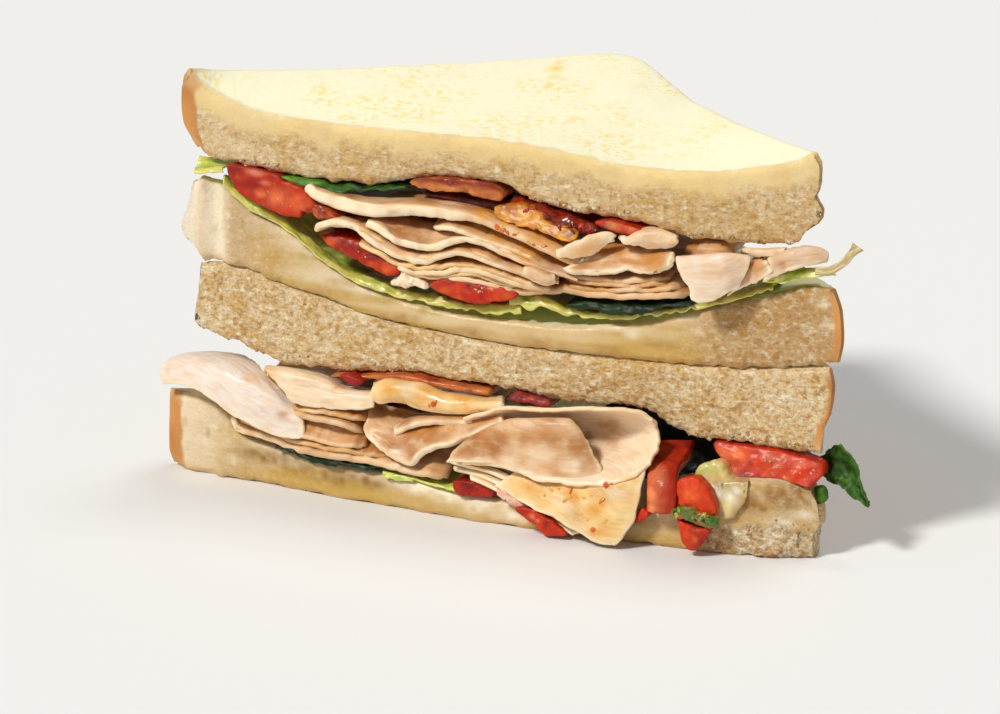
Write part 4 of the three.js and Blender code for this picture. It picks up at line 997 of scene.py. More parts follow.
def turkey_paint(pale=0.3, sauce="", rind=0.0, flat=False, shade_spots="", blush="", lip_tone=MEAT_LIP, shade=0.7,
                 tone=MEAT_PALE, rim_highlight=None, stains_and_shade=(), seed=0):
    """Colours for a slice: a cream rim, partly the paler cut edge and partly a painted highlight, tan to
    pinkish white on the face, and painted shade, brown, deep inside the food, with sauce, painted shade
    spots and pale places on it. The sauce is wet. `tone` is the pale colour, and `rim_highlight` gives,
    along x, how bright the rim is, dimmer where it lies in shade. `stains_and_shade` are marks of any
    other colour: stains, or painted shade."""
    def paint(points, rim, u, v):
        patch = rough(points, 7.0, 3, seed)
        face = blended(MEAT_TAN, MEAT, 0.5 + 0.7 * patch)
        face = blended(face, tone, pale + 0.35 * patch)
        # Painted shade: the face turns brown the further it lies behind its edge, or behind the cut,
        # standing in for the shade deep in the food.
        deep = ease(v, 1.6, 6.5) if flat else ease(points[..., 1], 3, 12)
        face = blended(face, MEAT_SHADE, shade * deep)
        # The tan spots are painted shade; the pale spots are paler meat.
        face = painted(face, points, [(MEAT_TAN, 0.85, 1.5, shade_spots), (MEAT_PALE, 0.9, 1.5, blush), *stains_and_shade])
        # The cream rim is partly the paler cut edge and partly a painted highlight, dimmed along x where
        # the rim lies in shade.
        lip = np.exp(-((rim / 0.95) ** 2)) + 0.3 * np.exp(-rim / 2.2)
        bright = curve(rim_highlight)(points[..., 0]) if rim_highlight else 1.0
        colour = blended(face, lip_tone, bright * lip * (0.8 + 0.4 * noise(points, 2.5, seed + 2)))
        golden = np.exp(-((rim - 0.9) ** 2) / 0.2) * ease(noise(points, 4.0, seed + 4), 0.0, 0.7)
        colour = blended(colour, MEAT_SAUCE, 0.35 * golden + rind * np.exp(-rim / 0.6))
        stain = 0 * rim
        if sauce:
            stain = np.clip(spots(points, sauce, 1.4) * (0.75 + 0.5 * noise(points, 2.0, seed + 3)), 0, 1)
            colour = blended(colour, MEAT_SAUCE, 0.9 * stain)
        return colour, stain
    return paint


# %% [markdown]
# Most slices lie nearly flat, one on the other, and all that shows of each is its thick front edge and
# the strip of upper face behind it. So each needs only the line that its edge follows along the cut.
# The corners turn in, the edge ripples, and behind it the slice settles at its own height.


# %% Slices that lie flat
LEDGE_ROWS, LEDGE_STEP = 30, 0.7


def ledge_grid(room, lip, hang, level, thickness, deep=1.0, ripple=0.22, turn=5.0, rise=24.0, seed=0):
    """Middle points of a flat slice: rows go back from the edge line, columns follow it."""
    lip = rows(lip)
    start, end = lip[0][0], lip[-1][0]
    x = mix(start, end, paces(end - start, LEDGE_STEP))[None, :]
    flat = places(x, 0, 0)
    sway = noise(flat, 4.5, seed) + 0.7 * noise(flat, 1.9, seed + 1) + 0.5 * noise(flat, 0.9, seed + 2)
    sway = ripple * sway
    corner = np.clip(1 - np.minimum(x - start, end - x) / turn, 0, 1)
    out = hang - room.below.front(x) + 1.8 * sway - 0.8 * turn * (1 - np.sqrt(1 - corner**2))
    edge = spilled(x, curve(lip)(x) + sway, out)
    sx, sy, sz = np.moveaxis(edge, -1, 0)
    length = np.maximum(room.reach(sx) * deep, sy + 3) - sy
    back = length * np.linspace(0, 1, LEDGE_ROWS)[:, None] ** 1.8
    y = sy + back
    wave = 0.5 * ease(back, 1, 8) * noise(places(sx, y, 0), 9, seed + 4)
    droop = 0.45 * thickness * np.exp(-((back / 1.3) ** 2))
    z = mix(sz, room.share(sx + 0 * y, y, level), ease(back, 0.0, rise)) + wave - droop
    return room.keep_clear(places(sx, y, z), thickness / 2 + BREAD_GAP)


# %% Flat slices in the upper half
upper_slices = {
    "turkey_upper_edge_6": (1.2, dict(hang=4.2, level=0.79, lip="""
    -13 68.4, -7 68, -1.6 66.6, 4 65.6, 9 64.2, 13.6 62.2, 17.4 60.4""")),
    "turkey_upper_edge_5": (1.1, dict(hang=4.4, level=0.74, lip="""
    -8 67, -2 65.8, 4 64.4, 9 62.8, 13.4 61, 17 59.4""")),
    "turkey_upper_edge_4": (1.2, dict(hang=4.0, level=0.6, lip="""
    -41.4 66.9, -36 66.8, -31 65.7, -27 64, -23.4 62.2, -19.4 60.9, -15 60.7, -11 61.8, -7 63.3,
    -3 63.1, 1 61.7, 5 60.5, 9 59.5, 14 58""")),
    "turkey_upper_edge_3": (1.1, dict(hang=3.8, level=0.47, lip="""
    -33 62.8, -28 60.9, -23 58.9, -17 58.1, -12 58.8, -8 60.1, -4 60.3, 0 59.3, 5 58.2, 10 57.3,
    15 56.5""")),
    "turkey_upper_2": (1.4, dict(hang=3.8, level=0.42, deep=0.5, lip="""
    -24 57.9, -18 57.3, -12 57.6, -7 58.9, -3 59.1, 1 58.2, 6 57.2, 11 56.5, 17.6 56""")),
    "turkey_upper_edge_2": (1.0, dict(hang=3.2, level=0.36, deep=0.5, lip="""
    -20 56.5, -14 56.3, -8 57.5, -3 57.9, 2 57.1, 8 56.3, 14 55.7""")),
    "turkey_upper_1": (1.6, dict(hang=3.0, level=0.3, lip="""
    -12 56.3, -5 56.7, 2 56, 8 55.5, 14 55.8, 20 56.6, 26 56.4, 32 56.6, 38 57.2, 44 58, 50 58.8""")),
    "turkey_upper_edge_1": (1.1, dict(hang=3.4, level=0.36, lip="""
    18.4 58, 24 57.7, 30 57.8, 36 58.4, 42 59.2, 48 60""")),
    "turkey_upper_edge_0": (1.0, dict(hang=3.0, level=0.42, deep=0.7, lip="""
    20 59.2, 27 58.9, 33 59, 39 59.7, 46 60.8""")),
    "turkey_upper_3": (1.3, dict(hang=2.8, level=0.46, deep=0.5, lip="""
    21.4 60.2, 27 60, 33 60.2, 39 61, 44.8 61.8""")),
    "turkey_upper_7": (2.6, dict(hang=-0.2, level=0.86, lip="49.6 69.4, 54 69.7, 59.6 69.9")),
}

# %% Flat slices in the lower half
lower_slices = {
    "turkey_lower_1": (1.7, dict(hang=2.4, level=0.36, rise=12, lip="""
    -66.3 13.9, -62.6 13.3, -58.4 12.5, -53.6 11.3, -46.8 10, -41.5 9.6, -36.3, -31.1 9.7, -26.4 9.4,
    -20.7 8.6, -15.6 8.3, -10.4 7.9""")),
    "turkey_lower_edge_1": (1.1, dict(hang=2.2, level=0.42, rise=12, lip="""
    -64.2 15.6, -58.4 14.2, -53.6 12.9, -46.8 11.7, -41.5 11.3, -36.3 11.1, -28.5 11.2, -24.3 11.4""")),
    "turkey_lower_2": (1.1, dict(hang=2.8, level=0.6, rise=8, lip="""
    -59.4 15.3, -53 14.1, -46.7 13.4, -40.4 12.9, -34.2 12.7, -31 12.8""")),
    "turkey_lower_3": (1.5, dict(hang=3, level=0.54, lip="""
    -50.3 19, -46.6 18.7, -43.5 18.6, -40.4 18.4, -36.7 17.9, -34.1 17.2, -32.1 16.5""")),
    "turkey_lower_edge_3": (1.0, dict(hang=2.6, level=0.62, lip="""
    -50.8 20.2, -45.6 20.1, -39.3, -34.1 19.8, -31 19.4""")),
}
MEAT_GOLD = daylight(248, 214, 146)
# How bright the painted rim highlight is along x: dimmer to the right of the upper stack and in the middle
# of the lower layers, where those rims lie in shade.
stack_rim_highlight = "-45 1, -12 0.9, 4 0.6, 18 0.32, 30 0.24, 50 0.34"
lower_rim_highlight = "-66 0.8, -52 0.5, -30 0.45, -10 0.7"
golden_edges = {
    name: turkey_paint(pale, sauce, flat=True, tone=MEAT_GOLD, rim_highlight=stack_rim_highlight, seed=seed)
    for name, pale, sauce, seed in (("turkey_upper_edge_6", 0.5, "2 66.5 3, 10 64.5 4", 8),
                                    ("turkey_upper_edge_5", 0.4, "10 62.6 3", 9))}
for table, rim_highlight in ((upper_slices, stack_rim_highlight), (lower_slices, lower_rim_highlight)):
    for number, (name, (thick, shape)) in enumerate(table.items()):
        grid = ledge_grid(room_of(name), thickness=thick, seed=100 + 10 * number, **shape)
        tone = MEAT_CREAM if "_edge_" in name else blended(MEAT_CREAM, MEAT_LIP, np.array(0.6))
        plain = turkey_paint(0.1, flat=True, lip_tone=tone, shade=0.5, rim_highlight=rim_highlight, seed=200 + number)
        sheet_piece(name, grid, thick, golden_edges.get(name, plain), turkey_finish, "turkey")
print("flat slices:", len(upper_slices) + len(lower_slices))

# %% [markdown]
# The rest of the meat is folded. Each fold is a few rails of places, read row by row from its lower
# edge up over its ridge, so that it stands up, bends over and runs back between the flat slices.

# %% Folds in the upper half
turkey_folds = {
    "turkey_upper_6": ("-46 1.8, -40 3, -32 3.5, -15 3.1, -4 2.7, 6 1.9, 20 1.2", """
    -45.9 74.8 3.2, -44 73.6 3.6, -42 72.3 3.8, -39.4 71.5 4, -36.8 71, -31.7 70.4 4.2, -26.6 70.2,
    -21.5 70.8, -16.5 71.3, -11.4, -6.4 70.9, -1.4 70.3 4.4, 3.6 68.9 4.6, 8.6 67.1 4.8, 13.5 65.2 5,
    19 63.2, 23.7 61.5 4.7 /
    -45.5 75.3 1.6, -43.5 74.1 1.8, -41.4 73.1 2, -39.4 72.4 2.2, -36.8 71.7, -31.7 71.4, -26.6 71.2,
    -21.5 71.8, -16.5 72.3, -11.4 72.4, -6.4 72.3, -1.4 72 2.4, 3.6 70.8 2.6, 8.6 69.4 2.8,
    13.5 67.8 3, 19 65.9, 23.6 64.4 2.7 /
    -45 75.7 -2, -43 74.9 -2.4, -40.9 74.3 -3, -38.9 73.7, -35.8 73.3, -31.7 73.1, -26.6 73,
    -21.5 73.5, -16.4 74, -11.4 74.2, -6.4 74.1, -1.4 73.6 -2.6, 3.6 72.7 -2, 8.6 71.6 -1.6,
    13.5 70.1 -1.2, 18.9 68.5 -1, 23.6 67.2 -1.3 /
    -44 76.2 -8, -41.9 75.8 -9, -39.9 75.4 -10, -37.8 75.1, -34.7 74.9, -30.7 74.8, -26.6 74.6,
    -21.5 75.1, -16.4 75.6, -11.4 75.8, -6.4 75.7, -1.4 75.2 -9, 3.6 74.6 -8, 8.6 73.7 -7,
    13.5 72.5 -6, 18.9 71.4, 23.6 70.4 -6.3 /
    -42.9 76.5 -20, -40.9 76.2 -21, -38.8 75.9 -22, -36.8 75.6, -33.7 75.4, -30.1 75.3, -26.6 75,
    -21.5 75.5, -16.4 76, -11.4 76.2, -6.4 76.1, -1.4 75.7 -20, 3.6 75.1 -18, 8.6 74.4 -17,
    13.5 73.4 -16, 18.9 72.3 -15, 23.6 71.4 -15.3"""),
    "turkey_upper_5": ("-34 1.2, -24 1.9, -12, 0 1.4, 18 0.9", """
    -30.2 67.3 4, -27.7 66.4 4.4, -25.1 64.7 4.6, -22.6 63.4, -19.6 62.7, -16.5 62.4 4.4, -13.5 62.7,
    -10.4 64, -7.4 65.1 4.2, -3.9 65.7, -0.4 65 4.4, 3.6 63.3 4.6, 8.6 61.8 4.8, 13.5 60.5 5,
    18.5 59.5, 23.2 58.5 4.7 /
    -29.7 67.8 1.6, -26.6 67.4 2, -24.1 66.2 2.2, -21.6 65.2, -18.5 64.6, -15.5 64.3 2, -12.5 64.5,
    -9.4 65.4, -6.9 66.2, -3.4 66.7 2.2, 0.1 66 2.4, 4.1 64.7 2.6, 8.6 63.3 2.8, 13.5 62.1 3,
    18.5 61.2, 23.2 60.3 2.7 /
    -29.2 68.2 -1, -26.1 68.4, -23.6 68.1, -21 68, -18.5 67.6, -15.5 67.3, -12.4 66.9, -9.4 67.1,
    -6.4 67.7, -2.9 67.9, 0.6 67.4, 4.6 66.3 -0.6, 8.6 65.1 -0.4, 13.5 63.9 0, 18.5 63.1,
    23.2 62.3 -0.3 /
    -28.7 68.7 -6, -25.6 69.1, -23.1 69.3, -20.5 69.4, -18 69.1, -15 68.7, -11.9 68.4, -8.9, -5.9 68.8,
    -2.4 68.9, 1.1 68.6, 5.1 67.7 -5, 9.1 66.9, 13.5 65.9, 18.5 65.2, 23.1 64.5 -5.3 /
    -28.2 68.8 -14, -25.1 69.3, -22.6 69.5, -20 69.6, -17.5 69.4, -14.5 69.1, -11.4 68.7, -8.4,
    -5.4 69.1, -1.9 69.3, 1.6 68.9, 5.6 68.2 -13, 9.6 67.4, 13.5 66.5, 18.5 65.7, 23.1 65 -13.3"""),
    "turkey_upper_4": ("-44 1.3, -36 1.7, -20 1.6, 0 1.2, 14 0.9", """
    -43.3 64.3 3.6, -42.6 65.3 4.2, -39 66.6 4.4, -35.9 66.5, -32.8 65.5, -30.3 63.7, -27.7 61.9,
    -24.7 60.4, -21.6 59.4 4.2, -18.6 59, -15.5 59.2 4, -12.5 60.3, -9.4 61.4, -6.4 62, -3.4 61.6 4.2,
    0.1 60.7 4.4, 4.1 59.7 4.6, 9.1 58.9 4.8, 13.6 58.2 5, 18.3 57.6 4.7 /
    -41.5 65.1 2, -40.5 66.1 2.2, -36.9 67.6, -34.3 67.4, -31.8 66.5, -29.2 65.2, -26.7 63.8,
    -23.6 62.5, -20.6 61.4, -17.5 61, -15 61.1 2, -12 62, -8.9 62.9, -5.9 63.4, -2.9 63 2.2,
    0.6 62.2 2.4, 4.6 61.4 2.6, 9.1 60.5 2.8, 13.5 59.9 3, 18.2 59.3 2.7 /
    -39.5 66.2 -4, -38.4 66.9, -34.8 68.2, -32.3 68, -29.7 67.3, -27.2 66.3, -24.6 65.3, -21.6 64.2,
    -18.5 63.5, -16 63.1, -13.5, -10.9 63.7, -7.9 64.3, -4.9 64.6, -1.9 64.4, 1.6 63.8, 5.6 63 -3,
    9.6 62.4, 13.5 61.8, 18.2 61.2 -3.3 /
    -39 66.6 -14, -37.4 67.4, -33.8 68.7, -31.2, -28.7 68.1, -26.1 67.2, -23.6 66.2, -20.6 65.1,
    -17.5 64.3, -15 63.8, -12.5 63.9, -9.9 64.4, -6.9 65, -3.9 65.2, -0.9 65, 2.6 64.4, 6.6 63.8 -13,
    10.1 63.2, 13.5 62.6, 18.2 61.8 -13.3"""),
    "turkey_upper_fold": (1.7, """
    18.5 61 5.2, 21 60.5 5.4, 23.4 60.1, 26.7 60.3 5.2, 30 60.8 5, 33.2 61.8 4.8, 36.4 62.2, 39.7 61.8,
    42.5 62.7, 45.7 65.1 4.6 /
    20.5 62.5 4.8, 23.4 62.2 4.2, 26.3 62.4 3.6, 29.1 63 3, 32.4 64.1 2.6, 35.6 64.5, 38.8 64.4 3,
    41.7 65.1 3.4, 44.1 65.9 3.8, 46.1 66.3 4 /
    24.6 64.7 3, 26.7 65.3 1.6, 29.1 66.4 0.4, 31.5 67.2 -0.6, 34.4 67.7 -1, 37.2 68, 39.6 67.8 -0.6,
    42 67.7 0.4, 44.1 67.3 1.6, 45.9 67.1 2.6 /
    27.5 67.6 -3, 29.5 68.4 -5, 31.5 68.8 -6, 33.9 69 -7, 36.4 69.3, 38.8, 40.8 69.1 -6, 42.8 68.7 -5,
    44.4 68.3 -4, 45.7 68 -3"""),
    "turkey_upper_flap": (1.4, """
    50.4 57.1 7.2, 51.8 56.7 7.4, 53.8 56.9 7.2, 56.2 58 6.8, 59 60.1 6, 61.3 61.2 5.2 /
    49.2 59.9 7.2, 51.8 59.8 7.4, 54.6 60.1 7.2, 57.4 61.2 6.8, 60.1 62.6 6, 62.7 63.7 5 /
    47.5 62.5 6.8, 50.9 63.1 7, 54.1 63.4, 57.7 64.2 6.6, 60.9 65.1 5.8, 63.4 65.7 4.8 /
    46.4 65.9 5.6, 50.1 66.7 6, 54.1 67.4, 58 68.1 5.8, 61.6 68.2 5.2, 64.4 67.8 4.4 /
    46.9 66.4 2, 50.1 67 1.4, 54.1 67.7 1, 58 68.2, 61.6 68.4 1.4, 64 68.1 2 /
    47.7 67 -6, 50.9 67.6 -7, 54.1 68.1, 58 68.7, 61.2 69 -6, 63.6 68.8 -5"""),
    "turkey_upper_right": (1.8, """
    67.2 62.9 3.6, 70 64.6, 73 66.2 3.4, 78.9 68.4 2.2, 82.4 69.4 0.8 /
    67.6 65.4 3.4, 70.6 67 3.2, 74 68.8 3, 79 70.4 1.8, 83 70.4 0.4 /
    68.6 68.2 2, 71.6 69.8 1.8, 75.4 71.4 1.4, 80 71.6 0.4, 82.4 70.9 -0.4 /
    66 69.4 -9, 70 69.6, 75 70.2 -7, 79.6 70 -5, 82 69.6 -3.6"""),
    "turkey_upper_strip": (1.4, """
    17.7 64.2 6, 20.5 64 5.6, 23 64 5.2, 25 64.5 4.8, 26.7 65.5 4.4, 28.7 67.1 3.8, 30.7 68.7 3,
    32.3 69.6 2.4 /
    17.2 64.5 6.2, 19.7 65.5 6, 22.2 66.7 5.8, 24.6 68 5.4, 26.6 69.1 5, 28.7 69.9 4.4, 30.5 70.2 3.6,
    32.1 70 3 /
    17.4 64.8 5.6, 19.9 66.4 5.4, 22.3 67.9 5, 24.6 69.3 4.6, 26.6 70.6 4, 28.6 71.1 3.4, 30.7 71 2.6,
    32.3 70.3 2"""),
    "turkey_upper_lobe": (1.3, """
    33.1 69.1 2.4, 35.6 69 2.6, 37.6 69.3 2.4, 39.6 68.8 2, 42.1 69, 44.1 69.2 2.2, 45.6 69.4 2.4,
    47.2 70.2 2.6 /
    32.7 69.7 3, 35.2 69.7 3.4, 37.6 70.5 3.6, 40 70.6 3.4, 42.4, 44.4, 46, 47.6 71 3.2 /
    32.5 70.1 2.2, 34.7 69.7 2.6, 37.2 71.1 2.4, 39.6 72.2 2, 42 72.6 1.8, 44 72.4, 46 72 2,
    47.6 71.5 2.4 /
    32.7 70.5 -4, 35.1 70.3, 37.2 71.7 -5, 39.6 72.5 -6, 42 72.9, 44 72.7, 46 72.4 -5, 47.4 71.9 -4"""),
    "turkey_upper_facet": (1.2, """
    58.6 58.9 4.6, 61 60 4.2, 63.6 61.3 4, 66.1 63 4.2, 69.4 65.9 4.4 /
    59.3 60.6 4.2, 61.4 62 3.8, 63.8 63.6 3.6, 66.1 65.3 4, 68.7 67.1 4.2 /
    60.2 62.3 3.4, 62.1 64.2 3.2, 64.2 66.3, 66.1 67.5 3.4, 67.9 68.3 3.6 /
    60.9 63.1 -4, 62.8 65, 64.6 67, 66.3 68.3, 67.7 69"""),
    "turkey_upper_tuft": (1.2, """
    62.6 69.8 1.6, 65.6 68.8 2.2, 69 69.2 2, 72 70.6 1 /
    63 70.8 0.8, 66.4 70.6 1.2, 70 71 0.8, 73 71.4 0.2 /
    62 70.4 -6, 66 70.6, 70 70.8, 73 71"""),
    "turkey_upper_curl": (1.1, """
    9 58.6 5.4, 12.4 57.2 6, 15.6 56.8, 17.4 57.6 5.6 /
    8.6 60 5.8, 12 59 6.8, 15.4 58.2, 17.6 58.8 6 /
    8.8 60.9 5, 12.2 60.6 5.8, 15.6 59.8, 17.6 59.8 5.2 /
    9.4 60.4 3, 12.4 60, 15.4 59.2, 17.2"""),
}

# %% Folds in the lower half
turkey_folds |= {
    "turkey_lower_drape": (1.5, """
    -84.7 21.9 -1, -81.1 22.5 0.8, -77.1 22.1 2.4, -73.8 21 3.4, -70.5 19.2 4.2, -67.2 17.2 4.8,
    -63.2 15.5 5.2, -58.6 13.9 5.4, -54 12.4 5.2, -49.4 12.2 4.8, -46.1 12.9 4.4 /
    -84.9 23.6 -1.4, -81.1 24.7 0.4, -77.1 24.5 1.8, -73.1 23.6 3, -69.8 21.9 3.8, -66.5 20 4.4,
    -62.5 18.3 4.8, -57.9 16.6 5, -53.3 15.3 4.8, -49.3 14.8 4.4, -46 15.2 4 /
    -85 25.5 -2, -81 26.9 -0.6, -77 27.1 0.6, -72.3 26.6 1.8, -68.4 25.2 2.8, -65.1 23.3 3.4,
    -61.1 21.6 4, -57.2 19.9 4.2, -53.2 18.4, -49.3 17.5 4, -46.3 17.4 3.4 /
    -83.7 27.4 -3.4, -80.3 28.7 -2.4, -76.3 29.1 -1.4, -71.6 29 -0.4, -67 28 1, -63.7 26.6 1.8,
    -60.4 25 2.4, -57.1 23.3 2.8, -53.8 21.5 3, -50.6 19.7 2.8, -47.3 18.5 2.4 /
    -81.7 28.6 -6, -78.3 29.8, -74.2 30.5, -70.2 30.7, -65.6 30.2 -5, -62.3 29 -3, -59.7 27.7 -1.4,
    -57.1 25.8 0, -54.5 23.6 1, -51.2 21.2 1.4, -48 19.4 1.2 /
    -79.6 29.2 -12, -76.2 30.2 -14, -72.9 30.9 -15, -68.9 31.3 -16, -64.2 31.2 -14, -61.6 30.2 -10,
    -59 28.9 -6, -56.7 27.1 -3, -54.4 24.9 -1, -51.5 22.3 0, -48.3 20.3"""),
    "turkey_lower_4": (1.8, """
    -49.5 21.2 5, -44.5 20.8, -39.3 20.9, -34.1 21.3 4.9, -31 21.5 4.8, -28.2 22.7 4.4 /
    -51.8 23.7 4.6, -46.6 22.8 4.8, -41.4 22.7, -36.1 23.3 4.6, -32 23.8 4.5, -27.8 24.7 4.2 /
    -54.4 26.4 3.8, -49.2 25.8 4, -43.9 25.6, -39.2 24.9, -35.1, -27.8 25.4 3.6 /
    -57 28.9 2.4, -51.7 28.7, -46.5 28.3, -41.3 27.4 2.6, -36.1 25.5 2.8, -28.1 25.7 2.6 /
    -57 29.1 -4, -51.7 29.2 -6, -46.5 29.1 -7, -41.3 28.7 -6, -36.1 27 -5, -28.3 26.4 -3"""),
    "turkey_lower_5": (1.9, """
    -29.1 26.1 3, -27.2 24 3.4, -24.2 24.8, -20.1 24.7 3.2, -17.3 23.7, -13.9 23.5 3.4, -10.4 23.5 3.6,
    -5.3 23.9 3.8, -1.2 25.2 4, 4.9 26.5 4.4 /
    -29.3 26.8 3.4, -26.8 26.1 4.2, -23.7 26.7 4.4, -20.1 26.8 4.2, -16.5 26 4, -13.4 25.4 4.2,
    -10.4 25.3 4.4, -5.3 25.5 4.6, -0.7 26.2 4.8, 4.9 27 5 /
    -28.8 27.4 2.2, -25.7 28.9, -22.6 29.2, -19.5 29.1 2, -16 29.1 1.8, -12.9 28.2, -9.8 27.3 2,
    -5.3 27.3 2.4, -0.2 26.9 3, 4.9 27.3 3.6 /
    -28.3 28.2 -5, -25.7 29.7 -8, -22.6 30 -9, -19.5 30.1, -15.9 30, -12.9 29.2 -8, -9.8 28.5,
    -5.3 28.3 -7, -0.2 28.2 -5, 4.9 28.3 -3"""),
    "turkey_lower_vee": (1.7, """
    -31 16.9 3.6, -30.2 14.8 5.4, -28.4 13.2 6.6, -25.9 11.5 7.8, -22.8 10.2 8.6, -18.6 9.6 9,
    -16.8 11.9 8.6, -14.5 13.6 8.2, -7.8 16.2 7.8, -0.2 20.1 7.4, 4.9 22.1 7.2 /
    -30.7 19.2 3, -29.4 16.9 4.4, -27.4 15.1 5.4, -24.3 13.5 6.4, -21.2 12.6 7, -18.6 12.6 7.2,
    -16.3 13.7 7, -13.5 15.3 6.8, -7.3 18 6.6, -0.2 21.3 6.4, 4.9 23.4 /
    -30.4 21.2 1, -28.4 20 2, -25.8 18.8 2.8, -23.2 17.8 3.6, -20.7 17.4 4, -17.6 17.5 4.2, -15 18.1,
    -11.9 19.2 4.4, -6.8 20.8 4.6, -0.2 22.8 4.8, 4.9 24.1 5 /
    -28.9 23.1 -4, -26.8 22.9, -24.2 22.7, -21.6 22.5, -19.1 22.3, -16.5 22.1 -3.6, -13.9 22.1 -3,
    -10.9 22.3 -2.4, -5.8 22.9 -1, -0.2 23.8 1, 4.9 24.7 2"""),
    "turkey_lower_vee_inner": (1.3, """
    -23 16.6 6.2, -19.4 18.6 5.8, -15 20 5.6, -9 21 5.8, -3 21.8 6 /
    -23.4 17.8 4, -19.6 19.8 3.6, -15 21.2 3.4, -9 22.2 3.6, -3 22.8 4 /
    -24 20 -4, -20 21.4 -5, -15 22.4, -9 23 -4, -3 23.4 -2"""),
    "turkey_lower_tongue": (1.3, """
    -10.5 11.4 11.2, -5.5 12 11.6, 0 12.4 12, 6 11.4 12.4, 12 10.6 12.6, 18.5 10.4, 24 11 12,
    29 12.6 10.4 /
    -9.4 12.4 10.6, -4.4 14 11.2, 1 14.4 11.6, 6.6 14 11.9, 12.2 13.4 12, 18.4 13.4 11.9,
    23.4 13.8 11.5, 29 15 10 /
    -8.6 13.4 10, -3.6 16.1 10.6, 1.8 17 11.2, 7.2 17 11.6, 12.6 17 11.8, 18 17.2 11.7, 22.6 17 11.3,
    28.2 16.2 10 /
    -6.8 15.1 9.2, -2.3 18.3 10, 2.7 20.2 10.8, 7.7 21.4 11.2, 13.5 22.2 11.3, 18.4 22.6 11.2,
    22 22 10.9, 26 19.6 10 /
    -4.6 16.9 8.2, -0.5 19.8 9, 4.1 22.5 9.6, 7.7 23.7 9.9, 13.5 24.5 10, 18.8 25 9.9, 21.1 24.9 9.7,
    23.6 23 9.6 /
    -4.6 16.6 6.6, -0.5 19.2 7, 4.1 21.6 7.2, 7.7 22.8 7.4, 13.5 23.6, 18.8 24 7.2, 21.1 23.8,
    23.4 22.6 7.4"""),
    "turkey_lower_bowl": (1.0, """
    -5.9 22.5 7, 0 24.9 7.8, 5.4 26.4 8.6, 14.4 27.4 9.2, 23.3 28.6, 32.1 29.5 8.6, 37.8 29.6 7.4,
    41.7 28.2 6 /
    -5.6 21.8 4.6, -0.5 23.6 4.4, 5 24.8 4.2, 14 25.8 3.4, 23 26.8 2.2, 31 27.4 2, 37 27.4 2.8,
    42.6 26 4.6 /
    -5.6 19.6 4, -1.5 20 3.6, 5 19.8 2.6, 14 19.8 1, 24 20.6 0.2, 32 21.6 1.4, 38 22.8 2.8,
    43.3 23.6 5 /
    -5.6 15.6 6.4, -1.5 15.6 6.8, 5 15.2 7, 14 14.6 7.4, 24 14.8 8.2, 32 16 8.6, 38 18 8.2,
    42.6 20.6 7.4 /
    -6 12.6 9.2, -1.6 12.8 10.4, 4.6 12.4 11.4, 12.2 11.4 12.4, 21 11 12.8, 30 12.2 12.2,
    36.2 14.4 11.2, 41.2 18 9.2 /
    -6.4 11 10.4, -1.8 11.8 11.4, 4.4 11.8 12.4, 12.2 9.9 13.2, 20.6 9.6 13.6, 29.6 10.6 13.2,
    36 13 11.8, 41 17.2 9.4"""),
    "turkey_lower_flap": (1.4, """
    1.8 7.3 10.2, 9.9 3.7 12.2, 16.7 1 13.4, 23.4 -1.7 14, 27.9 -3.6 14.1, 32.4 -3.6 13.8 /
    3.6 8.6 10.2, 11.7 6.1 12.2, 18 3.8 13.4, 24.3 1.5 14, 30.1 0, 35 -0.2 13.4 /
    5.4 9.7 10, 13.5 8.1 12, 19.8 6.7 13, 26.1 5.7 13.8, 32.3 6 13.4, 37.6 5.8 12.2 /
    7.2 10.8 9.4, 14.4 9.7 11, 20.7 9.4 12, 26.9 10.3 12.4, 33.6 11.6 11.8, 39.6 15.2 10 /
    6 12 6.6, 14 12 8.2, 21 12 9, 28 12.6 9.4, 35 14 9, 40.4 17.4 8"""),
    "turkey_lower_under": (1.2, """
    -4 7.9 9.6, 2 6 10.2, 9 3 10.8, 16 -0.1 11.4, 22 -2.6 11.8 /
    -4 9.4 8.6, 4 7.5 9.2, 11 4.4 9.8, 18 1.2 10.2, 24 -1 10.8 /
    -4 10.8 5.6, 5 9.6 7, 13 7.2 8, 20 4.8 9, 26 3 9.8"""),
    "turkey_lower_under_2": (1.0, """
    -8 9.8 8.6, -1.4 8.9 10, 5 6.8 11.2, 12 3.9 12.2, 19 0.5 12.8, 26 -2.7 13.2 /
    -8 11 7, 0 10.2 8.4, 7 8 9.6, 14 5.6 10.6, 21 3 11.4, 27 1 12"""),
    "turkey_lower_under_1": (1.0, """
    -9.4 11.6 8.6, -2 10.9 10, 4 9.4 11, 10 7.2 12, 16 4.6 12.8, 22 1.8 13.2 /
    -9 12.4 7, -1 11.8 8.4, 6 10.2 9.4, 13 8 10.4, 20 6 11.2"""),
}
MEAT_MILK = daylight(240, 226, 214)
MEAT_ROSE = daylight(238, 214, 190)
golden_top = "6 70.6 5, 12 69, 16 66.4 4.6, 0 71.8 3, 11 71.4 5, 19 64 3"
